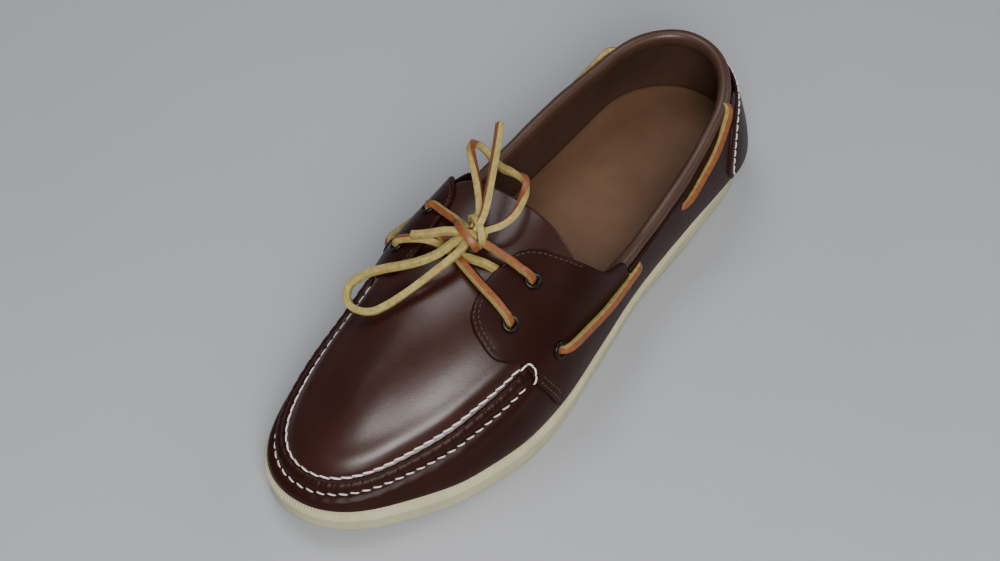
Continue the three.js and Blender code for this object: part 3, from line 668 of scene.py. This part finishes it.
def side_laces():
    """Routes of ring, rise and distance off the last; they dive under the quarter at their ends."""
    front = [(104.2, 0.494, 4.7), (98, 0.410, 4.4), (92.5, 0.350, 4.3), (88, 0.310, 3.6),
             (84, 0.283, 3.0), (80.9, 0.266, 2.4), (79.8, 0.259, 0.9), (79.4, 0.256, -0.8)]
    rear = [(64.7, 0.268, -0.8), (64.3, 0.272, 0.9), (62.8, 0.285, 2.3), (57, 0.335, 2.6),
            (50, 0.400, 2.8), (44, 0.478, 2.6), (39.8, 0.540, 2.3), (38.3, 0.560, 0.9),
            (37.9, 0.565, -0.8)]

    def route(side, points):
        ring, rise, distance = np.array(points).T
        return list(off(*on_side(side, ring, rise), distance))

    for side, sign in (("lateral", 1), ("medial", -1)):
        first, *others = route(side, front)
        eye = through_eyelet(side, "side", first)[::-1]
        lace(f"side_front_{side}", eye + others, up=(0, -1.0, 0), twist=(15 * sign, 15 * sign),
             nodes=[f"side_lace_{side}_front"])
        lace(f"side_rear_{side}", route(side, rear), up=(0, -1.0, 0), twist=(10 * sign, 10 * sign),
             nodes=[f"side_lace_{side}_rear"])


bow()
bound_laces()
side_laces()


# ---------------------------------------------------------------- sole and insole
def floor_lift(at):
    """How far the sole's underside stands off the floor, at the toe and under the arch."""
    toe = np.maximum((at - SPRING_START) / (1 - SPRING_START), 0)
    arch = np.clip((at - ARCH_FROM) / (ARCH_TO - ARCH_FROM), 0, 1)
    return TOE_SPRING * toe * toe + ARCH_LIFT * np.sin(math.pi * arch) ** 2


def middle(ring):
    """The line inside the sole that flat rows shrink to."""
    at = 0.5 + (along(ring) - 0.5) * 0.86
    return np.stack([look(LAST, "centre", at), LENGTH * (0.5 - at)], -1)


def flat_row(ring, inset, share, height):
    """A row of points inside the outline, a share of the way to the middle, at height(at, y)."""
    plan = outline(ring, inset) * (1 - share) + middle(ring) * share
    at = 0.5 - plan[..., 1] / LENGTH
    return np.concatenate([plan, height(at, plan[..., 1])[..., None]], -1)


def even_rings(count):
    """Ring angles that step evenly round the sole's outline."""
    fine = np.linspace(-180, 180, 3601)
    path = outline(fine, 0.0)
    s = run_of(path)
    return np.interp(np.arange(count) / count * s[-1], s, fine)


RIBS = 460                    # ribs round the sole's bevel


def outsole():
    ring = even_rings(RIBS * 3)
    edge = look(LAST, "edge", along(ring))
    bottom = edge + look(LAST, "bottom", along(ring))
    groove = np.where(np.arange(len(ring)) % 3 == 0, 1, 0)
    shoulder = np.maximum(edge + 1.6, look(LAST, "ledge", along(ring)) + 0.3)

    def lift(rise):
        return lambda at, y: floor_lift(at) + rise

    def rim(drop):
        return lambda at, y: rim_height(y) - drop

    rows = [flat_row(ring, bottom, s, lift(0)) for s in (1, 0.8, 0.6, 0.4, 0.2, 0.05)]
    rows += [flat_row(ring, bottom - 0.2, 0, lift(0.15)), flat_row(ring, bottom - 0.7, 0, lift(0.8))]
    rows += [flat_row(ring, edge + 0.6 + (bottom - edge - 1.3) * s, 0, lift(4 - 3.2 * s))
             for s in (0.66, 0.33)]
    rows += [flat_row(ring, edge + 0.6, 0, lift(4))]
    low, high = rows[-1], flat_row(ring, edge, 0, rim(RIM_BEVEL + 0.9))
    rows += [low * (1 - s) + high * s for s in (0.25, 0.5, 0.75)]
    rows += [high, flat_row(ring, edge + 0.05, 0, rim(RIM_BEVEL + 0.35)),
             flat_row(ring, edge + 0.5, 0, rim(RIM_BEVEL + 0.1)),
             flat_row(ring, edge + 0.55, 0, rim(RIM_BEVEL - 0.15))]
    # up the bevel, with a groove cut between each two ribs
    for s, cut in ((0.06, 0.0), (0.12, 0.35), (0.5, 0.75), (0.86, 0.85), (0.94, 0.35)):
        inset = (edge + 0.25) * (1 - s) + shoulder * s + groove * cut
        drop = (RIM_BEVEL - 0.35) * (1 - s) + 0.3 * s + groove * cut * 0.95
        rows.append(flat_row(ring, inset, 0, rim(drop)))
    rows += [flat_row(ring, shoulder + 0.9, s, rim(0.3)) for s in (0, 0.1, 0.4, 0.7, 1)]
    faces = quads(len(rows), len(ring), ring=True)
    piece = make("sole", np.array(rows), faces, CREAM)
    tidy(piece)
    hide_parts("outsole")


def insole():
    ring = even_rings(320)
    inset = look(LAST, "ledge", along(ring)) + LEATHER + 1.3
    foot = outline(ring, inset)
    # the lining's face at the height of the insole's top
    wall = off(ring, rise_at_height(ring, rim_height(foot[:, 1]) + INSOLE), -LEATHER - 0.2)[:, :2]

    def row(edge, share, rise):
        plan = edge * (1 - share) + middle(ring) * share
        return np.concatenate([plan, (rim_height(plan[:, 1]) + rise)[:, None]], -1)

    inward = unit(middle(ring) - wall)
    rows = [row(foot, share, 0.1) for share in (1, 0.5, 0)]
    rows += [row(wall + inward * more, 0, INSOLE - drop)
             for more, drop in ((0, 0.8), (0.25, 0.25), (0.8, 0))]
    rows += [row(wall + inward * 0.8, share, INSOLE - 0.9 * math.sin(share * QUARTER))
             for share in np.linspace(0.06, 1, 14)]
    piece = make("sock", np.array(rows), quads(len(rows), len(ring), ring=True), SOCK)
    tidy(piece)
    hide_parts("insole")


outsole()
insole()


# ---------------------------------------------------------------- upper
def seam(name, ring):
    """Rise of one of the moccasin seam's lines, by ring angle."""
    turn = np.asarray(ring, float) % 360
    return look(SEAM, name, turn - 180)


def rise_scale(ring, rise):
    """Millimetres for one unit of rise."""
    return np.linalg.norm(last(ring, rise + 0.01) - last(ring, rise - 0.01), axis=-1) / 0.02


def relief(ring, rise):
    """How far the upper's leather stands off the last: pulled in along the stitches, puffed
    beside them, with slow unevenness."""
    turn = np.asarray(ring, float) % 360
    middle_rise = seam("rise", ring)
    scale = rise_scale(ring, middle_rise)

    def beside(line, distance, width):
        """A soft ridge along a line of stitches, so far above it and so wide."""
        across = (rise - seam(line, ring)) * scale
        return np.exp(-((across - distance) / width) ** 2)

    there = step(110, 116, turn) * step(250, 244, turn)
    s = np.radians(turn)
    pull = 0.55 * beside("inner", 0, 0.9) + 0.5 * beside("outer", 0, 0.9)
    puff = 0.9 * beside("inner", 5.5, 4.0) + 0.7 * beside("outer", -4.0, 2.6)
    pucker = 0.10 * np.sin(75 * s) * beside("outer", -2.2, 1.6)
    uneven = 0.11 * np.sin(5 * s + 5 * rise) * np.sin(5 * rise + 3 * s) * np.sin(2 * rise)
    return (puff - pull + pucker) * there + uneven


def upper():
    """The upper's two faces, with the rows of points closer together near the sole and the seam."""
    columns, rows = 480, 84
    ring = signed(np.arange(columns) * 360 / columns)
    ring = np.where(ring == -180, 180, ring)
    # the top edge runs up into the collar's roll, so nothing shows through
    edge = upper_edge(ring) + 0.05 * step(90, 84, np.abs(ring))
    knee = np.minimum(seam("rise", ring), edge * 0.6)
    u = np.linspace(0, 1, rows)[:, None]
    half = 0.46
    low = knee * (1 - (1 - np.clip(u / half, 0, 1)) ** 1.5)
    high = knee + (edge - knee) * np.clip((u - half) / (1 - half), 0, 1) ** 1.5
    rise = np.where(u < half, low, high)
    ring = np.broadcast_to(ring, rise.shape)
    outer = off(ring, rise, relief(ring, rise))
    inner = off(ring, rise, -LEATHER)
    for grid in (outer, inner):
        grid[0, :, 2] = rim_height(grid[0, :, 1])
    n = rows * columns
    faces = quads(rows, columns, ring=True).tolist()
    outside = len(faces)
    faces += quads(rows, columns, True, n, True).tolist()
    open_top = np.abs(ring[0]) < THROAT_FRONT
    for i in range(columns):
        k = (i + 1) % columns
        faces.append([n + i, n + k, k, i])
        if open_top[i] or open_top[k]:
            t = (rows - 1) * columns
            faces.append([t + i, t + k, n + t + k, n + t + i])
    # the plug is the glossy leather, the wall below the seam the matte one, whose darker colour is
    # painted shade
    wall = (rise < seam("rise", ring)) | (np.abs(ring) < 112)
    index = np.ones(len(faces), int)
    index[:outside] = np.where(wall[:-1].ravel(), 2, 0)
    piece = make("upper_leather", np.concatenate([outer.reshape(-1, 3), inner.reshape(-1, 3)]), faces,
                 [BROWN, LINING, BROWN_MATTE_SHADED], index=index)
    tidy(piece, weld=0.01)
    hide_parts("upper")


def lip():
    """The raised seam, gathered in small uneven folds."""
    ring = signed(np.linspace(115.2, 244.8, 640))
    rise = seam("rise", ring)
    place, n = last(ring, rise), last_normal(ring, rise)
    up = unit(last(ring, rise + 0.02) - last(ring, rise - 0.02))
    run = run_of(place)
    gather = (0.05 * np.sin(run * 2 * math.pi / 2.3 + 1.5 * np.sin(run / 3.1))
              + 0.09 * np.sin(run * 2 * math.pi / 5.4 + np.sin(run / 7.7)))
    angle = np.linspace(0, math.pi, 13)
    half = 2.75 + 0.12 * np.sin(run * 2 * math.pi / 5.6)
    height = 2.2 + gather
    ends = np.sqrt(np.clip(np.minimum(run, run[-1] - run) / 2.0, 0.05, 1))
    across = np.cos(angle)[None] * half[:, None] * (0.6 + 0.4 * ends[:, None])
    over = 0.1 + np.sin(angle)[None] ** 0.75 * height[:, None] * ends[:, None]
    top = place[:, None] + up[:, None] * across[..., None] + n[:, None] * over[..., None]
    base = place[:, None] + up[:, None] * across[:, ::-1, None] * 0.9 - n[:, None] * 0.5
    points, faces = capped(np.concatenate([top, base[:, 1:-1]], 1))
    # the lip is the matte copy of the leather, its darker colour painted shade
    piece = tidy(make("moccasin_lip", points, faces, BROWN_MATTE_SHADED))
    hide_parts("moc_lip")


upper()
lip()


# ---------------------------------------------------------------- panels laid over the upper
def inside(points, loop):
    """Which points lie inside a closed loop, in the plane, by counting its crossings."""
    x, y = points[:, :1], points[:, 1:]
    a, b = loop, np.roll(loop, -1, axis=0)
    crosses = (a[:, 1] > y) != (b[:, 1] > y)
    with np.errstate(divide="ignore", invalid="ignore"):
        at = (b[:, 0] - a[:, 0]) * (y - a[:, 1]) / (b[:, 1] - a[:, 1]) + a[:, 0]
    return (np.sum(crosses & (x < at), axis=1) % 2) == 1


def tree_of(points):
    tree = KDTree(len(points))
    for i, p in enumerate(points):
        tree.insert(p, i)
    tree.balance()
    return tree


def distances(points, tree):
    return np.array([tree.find(p)[2] for p in points])


def flat_distances(points, tree):
    return distances([(*p, 0) for p in points], tree)


def on_leather(points, loops):
    """Which points lie inside the outline, the first loop, and outside the holes, the others."""
    ok = inside(points, loops[0])
    for hole in loops[1:]:
        ok &= ~inside(points, hole)
    return ok


FLAT = np.array([2.45, 46.0])    # millimetres for a degree of ring and for a unit of rise, roughly
SPACING = 1.25                   # between the points of a panel's mesh


def rows_beside(loops, near):
    """Rows of points close inside the edges of a panel, for its rounded edge."""
    rows = []
    for i, loop in enumerate(loops):
        run = unit(np.roll(loop, -1, 0) - np.roll(loop, 1, 0))
        side = np.stack([-run[:, 1], run[:, 0]], -1)
        test = (loop + side * 0.05)[:1]
        if inside(test, loops[0])[0] == (i > 0 and inside(test, loop)[0]):
            side = -side
        for inset in (0.3, 0.75, 1.3):
            row = loop + side * inset
            clear = flat_distances(row, near) > inset * 0.93
            rows.append(row[on_leather(row, loops) & clear])
    return rows


def flat_mesh(loops):
    """Points and triangles of a flat panel, with its outline and holes as edges."""
    low, high = loops[0].min(0), loops[0].max(0)
    gx, gy = np.meshgrid(np.arange(low[0], high[0], SPACING), np.arange(low[1], high[1], SPACING * 0.87))
    gx = gx + (np.arange(gx.shape[0]) % 2)[:, None] * SPACING / 2
    grid = np.stack([gx.ravel(), gy.ravel()], -1)
    near = tree_of([(*p, 0) for loop in loops for p in loop])
    grid = grid[on_leather(grid, loops)]
    grid = grid[flat_distances(grid, near) > 1.55]
    points = np.concatenate(loops + rows_beside(loops, near) + [grid])
    edges, start = [], 0
    for loop in loops:
        n = len(loop)
        edges += [(start + k, start + (k + 1) % n) for k in range(n)]
        start += n
    result = delaunay_2d_cdt([Vector(p) for p in points], edges, [], 0, 1e-6)
    points = np.array([tuple(v) for v in result[0]])
    faces = np.array([f for f in result[2] if len(f) == 3])
    return points, faces[on_leather(points[faces].mean(1), loops)], edges


def panel(name, loops, base, thick, node, soft=1.3, troughs=()):
    """A piece of leather on the last: loops of (ring, rise), the first its outline and the others
    holes. Its edges are rounded over and its stitches pull soft troughs into it."""
    loops = [even(np.concatenate([loop, loop[:1]]) * FLAT, 0.7)[:-1] for loop in loops]
    points, faces, edges = flat_mesh(loops)
    ring, rise = (points / FLAT).T
    under = off(ring, rise, np.full(len(ring), base))
    edge_gap = distances(under, tree_of(under[:len(edges)]))
    rounding = 0.42 + 0.58 * np.sqrt(1 - (1 - np.clip(edge_gap / soft, 0, 1)) ** 2)
    height = thick(ring) * rounding
    for path, deep, wide in troughs:
        height = height - deep * np.exp(-(distances(under, tree_of(path)) / wide) ** 2)
    top = off(ring, rise, base + height)
    n = len(points)
    sides = [[a, b, b + n, a + n] for a, b in edges]
    all_faces = faces.tolist() + (faces[:, ::-1] + n).tolist() + sides
    # the panels are the matte copy of the leather, their darker colour painted shade
    piece = make(name, np.concatenate([top, under]), all_faces, BROWN_MATTE_SHADED)
    tidy(piece, weld=0.001)
    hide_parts(node)


def eyelet_hole(side, name):
    """A round hole on the last, as ring and rise."""
    ring, rise = on_side(side, *EYELETS[name])
    wide = np.linalg.norm(last(ring + 0.2, rise) - last(ring - 0.2, rise)) / 0.4
    tall = rise_scale(ring, rise)
    x, y = oval(40, EYELET_HOLE, EYELET_HOLE).T
    return np.stack([ring + x / wide, rise + y / tall], -1)


def stitches(parts, route, height, pitch, long, radius, tilt, lift=0.45):
    """A row of thread along a route of (ring, rise), added to parts, each stitch bedded at both
    ends."""
    ring, rise = route.T
    place, n = off(ring, rise, height + np.zeros(len(ring))), last_normal(ring, rise)
    s = run_of(place)
    points, faces, count = [], [], 0
    section = oval(6, radius, radius * 0.8)
    for at in np.arange(pitch / 2, s[-1] - long / 2, pitch):
        t = np.linspace(at - long / 2, at + long / 2, 7)
        p = np.stack([np.interp(t, s, place[:, k]) for k in range(3)], -1)
        m = unit(np.stack([np.interp(t, s, n[:, k]) for k in range(3)], -1))
        across = unit(np.cross(unit(np.gradient(p, axis=0)), m))
        u = np.linspace(-1, 1, 7)[:, None]
        p = p + m * (lift * (1 - u**4) - 0.25) + across * u * tilt
        rings = tube_rings(p, section, up=m[0], scale=1 - 0.45 * u[:, 0] ** 4)
        a, b = capped(rings)
        points.append(a)
        faces += [[i + count for i in f] for f in b]
        count += len(a)
    parts.append((np.concatenate(points), faces))


def joined(name, parts, material):
    """One piece from many parts."""
    points, faces, count = [], [], 0
    for a, b in parts:
        points.append(a)
        faces += [[i + count for i in f] for f in b]
        count += len(a)
    make(name, np.concatenate(points), faces, material)


def curve(points, spacing=0.6):
    """A smooth line through (ring, rise) points."""
    return spline(np.asarray(points, float) * FLAT, spacing) / FLAT


def saddle_outline(side):
    """The saddle and the quarter behind it, one piece of leather up to the heel patch."""
    rise = np.concatenate([np.linspace(SOLE_EDGE, 1.2, 60),
                           1.345 - 0.145 * (1 - np.linspace(0, 1, 30)) ** 2])
    front = np.stack(on_side(side, look(SADDLE, "front", rise), rise), -1)
    flap = rise[rise > 0.615][::-1]
    rear = np.stack(on_side(side, look(SADDLE, "rear", flap), flap), -1)
    sign = np.array([1 if side == "lateral" else -1, 1])
    # the flap's rear corner laps over the collar's end
    corner = curve([rear[-1], *(sign * place for place in (
        (88.9, 0.560), (87.2, 0.515), (85.2, 0.470), (83.9, 0.425),
        (83.2, float(upper_edge(sign[0] * 83.2)))))], 0.7)
    way = np.linspace(82.6, 29.0, 120)
    top = np.stack([way, upper_edge(way * sign[0]) + 0.05 * step(29, 33, way)], -1)
    back = np.linspace(29.0, 107.0, 160)
    bottom = np.stack([back, SOLE_EDGE + 0.012 * step(60, 30, back)], -1)
    return np.concatenate([front, rear, corner[1:], top * sign, bottom * sign])


def beside_edge(side, edge, rise, inset, lower=0.0):
    """A row of stitches so many degrees behind an edge of the saddle, and a little lower."""
    return np.stack(on_side(side, look(SADDLE, edge, rise) - inset, rise - lower), -1)


def trough(route, base, deep, wide):
    return off(*route.T, np.full(len(route), base)), deep, wide


def saddle(side, tonal):
    """The saddle thins towards the heel. Two rows of stitches follow its front edge, the sole and
    the flap's front corner, and one the flap's rear edge."""
    sign = 1 if side == "lateral" else -1

    def thick(ring):
        return 1.0 + 0.8 * step(70, 92, np.abs(ring))

    lower = [np.stack([sign * np.linspace(106.6 - 0.6 * k, 36, 200),
                       np.full(200, SOLE_EDGE + (1.7 + 2.6 * k) / 52)], -1) for k in (0, 1)]
    front = [beside_edge(side, "front", np.linspace(0.13 + 0.05 * k, 0.47, 80), (1.7 + 2.6 * k) / FLAT[0])
             for k in (0, 1)]
    corner_rise = np.concatenate([np.linspace(0.98, 1.24, 40), np.linspace(1.25, 1.318, 24)])
    corner = [beside_edge(side, "front", corner_rise, 0.75 + 0.95 * k, 0.012 + 0.022 * k) for k in (0, 1)]
    rear = beside_edge(side, "rear", np.linspace(1.335, 0.80, 90), -0.75, 0.012)
    panel(f"saddle_and_quarter_{side}",
          [saddle_outline(side)] + [eyelet_hole(side, name) for name in EYELETS], OVER, thick,
          f"saddle_{side}", troughs=[trough(route, OVER, 0.16, 0.8) for route in lower + front + corner])
    for route in lower:
        stitches(tonal, route, OVER + thick(route[:, 0]) - 0.12, 2.6, 2.0, 0.24, 0.05, 0.3)
    for route in front + corner + [rear]:
        stitches(tonal, route, OVER + OVERLAY - 0.12, 2.4, 1.9, 0.24, 0.05, 0.3)


def heel_patch(white):
    rise = PATCH["rise"]
    fine = np.interp(np.linspace(0, 1, 90), np.linspace(0, 1, len(rise)), rise)

    def arch(inset, lower):
        one = np.stack([look(PATCH, "half", fine) - inset, fine - lower], -1)
        return np.concatenate([one, (one * np.array([-1, 1]))[::-1]])

    line = curve(arch(2.0, 0.02)[6:-6:6])
    panel("heel_patch_leather", [arch(0, 0)], PATCH_BASE, lambda ring: PATCH_THICK, "heel_patch",
          soft=1.6, troughs=[trough(line, PATCH_BASE, 0.25, 1.0)])
    stitches(white, line, PATCH_BASE + PATCH_THICK - 0.1, 4.0, 3.4, 0.42, 0.1)


def seam_stitches(white):
    turn = np.linspace(114.9, 244.0, 700)
    inner = np.stack([signed(turn), seam("inner", signed(turn))], -1)
    outer = np.stack([signed(turn), seam("outer", signed(turn))], -1)
    stitches(white, inner, relief(*inner.T) + 0.28, 4.6, 4.8, 0.46, 0.34)
    stitches(white, outer, relief(*outer.T) + 0.28, 4.8, 3.6, 0.40, 0.34)
    # round the seam's end, on the lateral saddle
    box = curve([(115.4, 0.676), (114.2, 0.684), (113.1, 0.655), (112.7, 0.60), (112.9, 0.54),
                 (113.7, 0.495), (115.0, 0.490)])
    stitches(white, box, OVER + OVERLAY + 0.1, 3.9, 3.9, 0.45, 0.2)


def tongue():
    """A sheet in the upper's own layer, with a rounded rear edge."""
    rows, columns = 60, 81
    share = np.linspace(-1, 1, columns)
    back = np.linspace(0, 1, rows)[:, None] ** 1.3
    ring = 92 + (THROAT_FRONT - 0.6 - 92) * back
    turn = ring + 5 * share**2 * (1 - back)
    side = np.where(share < 0, -1, 1)
    edge = np.minimum(upper_edge(side * turn) + 0.07, QUARTER)
    rise = QUARTER - (QUARTER - edge) * np.abs(share)
    top = off(side * turn, rise, 0.0)
    under = off(side * turn, rise, -LEATHER)
    # the rear edge is rounded over its first millimetre
    rear = np.linalg.norm(top - top[:1], axis=-1)
    rounding = 0.35 + 0.65 * np.sqrt(1 - (1 - np.clip(rear, 0, 1)) ** 2)[..., None]
    core = (top + under) / 2
    top, under = core + (top - core) * rounding, core + (under - core) * rounding
    n = rows * columns
    faces = quads(rows, columns).tolist() + quads(rows, columns, start=n, flip=True).tolist()
    ids = np.arange(n).reshape(rows, columns)
    rim = [*ids[0], *ids[1:, -1], *ids[-1, -2::-1], *ids[-2:0:-1, 0]]
    faces += [[a, b, b + n, a + n] for a, b in zip(rim, rim[1:] + rim[:1])]
    piece = make("tongue_leather", [top, under], faces, BROWN)
    tidy(piece)
    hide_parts("tongue")


def collar():
    """The padded roll along the top edge, a little uneven and creased on its underside."""
    ring = np.linspace(-COLLAR_END - 1.2, COLLAR_END + 1.2, 420)
    rise = rise_at_height(ring, collar_top(ring) - COLLAR_HEIGHT / 2)
    out = unit(last_normal(ring, rise) * np.array([1, 1, 0]))
    centre = last(ring, rise) + out * (COLLAR_PROUD - COLLAR_WIDTH / 2)
    centre[:, 2] = collar_top(ring) - COLLAR_HEIGHT / 2
    run = run_of(centre)
    angle = np.arange(28) / 28 * 2 * math.pi
    wobble = (0.10 * np.sin(run / 9.0) + 0.07 * np.sin(run / 3.7 + 1.0))[:, None]
    crease = 0.16 * np.sin(run * 2 * math.pi / 4.4)[:, None] * np.clip(-np.sin(angle), 0, 1) ** 2
    a = COLLAR_WIDTH / 2 + wobble - crease
    b = COLLAR_HEIGHT / 2 + wobble * 0.5
    c, s = np.cos(angle), np.sin(angle)
    fullness = 0.85               # 1 is an oval; less is fuller at its corners
    x = np.sign(c) * np.abs(c) ** fullness * a
    z = np.sign(s) * np.abs(s) ** fullness * b
    ends = np.sqrt(np.clip(np.minimum(run, run[-1] - run) / 3.0, 0.04, 1))[:, None]
    rings = centre[:, None] + out[:, None] * (x * ends)[..., None]
    rings[..., 2] += z * ends
    points, faces = capped(rings)
    piece = tidy(make("collar_roll", points, faces, BROWN_ROLL))
    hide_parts("collar")


def eyelet(side, name):
    """A rolled metal ring, turned from a profile about the hole."""
    ring, rise = on_side(side, *EYELETS[name])
    n = last_normal(ring, rise)
    place = off(ring, rise, OVER + OVERLAY)
    a = unit(np.cross(n, [0, 0, 1.0]))
    b = np.cross(n, a)
    # radius, and height over the leather
    profile = [(2.05, -1.8), (2.6, -1.8), (2.65, 0.0), (3.0, 0.1), (3.9, 0.05), (4.05, 0.3),
               (3.8, 0.75), (3.2, 1.0), (2.6, 0.95), (2.2, 0.6), (2.05, 0.1)]
    spokes = [c * a + s * b for c, s in oval(40, 1, 1)]
    rings = np.array([[place + spoke * r + n * h for r, h in profile] for spoke in spokes + spokes[:1]])
    faces = quads(len(rings), len(profile), ring=True)
    piece = make(f"eyelet_ring_{side}_{name}", rings, faces, ENAMEL)
    tidy(piece)
    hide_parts(f"eyelet_{side}_{name}")


white_parts, tonal_parts = [], []
for which in ("lateral", "medial"):
    saddle(which, tonal_parts)
    for eye in EYELETS:
        eyelet(which, eye)
tongue()
collar()
heel_patch(white_parts)
seam_stitches(white_parts)
joined("white_stitches", white_parts, WHITE)
joined("tonal_stitches", tonal_parts, TONAL)


# ---------------------------------------------------------------- floor and light
def stage():
    size = 15000.0
    grid = [(-size, -size, 0), (size, -size, 0), (size, size, 0), (-size, size, 0)]
    make("floor", grid, [(0, 1, 2, 3)], floor_paint(), stage=True)
    world = bpy.data.worlds.new("world")
    bpy.context.scene.world = world
    world.use_nodes = True
    sky = world.node_tree.nodes["Background"].inputs
    sky["Color"].default_value, sky["Strength"].default_value = (0.80, 0.86, 0.95, 1), 0.17
    lights = [("key", (0.63, -0.71, 0.90), 0.60, 18.5, (1.0, 0.985, 0.975)),
              ("top", (-0.42, 0.12, 1.28), 0.60, 6.5, (0.98, 0.98, 1.0)),
              ("rear", (0.85, 1.20, 1.00), 0.80, 6.0, (1.0, 0.98, 0.96))]
    for name, spot, size, power, colour in lights:
        data = bpy.data.lights.new(name, "AREA")
        data.energy, data.size, data.color = power, size, colour
        lamp = bpy.data.objects.new(name, data)
        lamp.location = spot
        lamp.rotation_mode = "QUATERNION"
        lamp.rotation_quaternion = (-Vector(spot)).to_track_quat("-Z", "Y")
        bpy.context.scene.collection.objects.link(lamp)


stage()
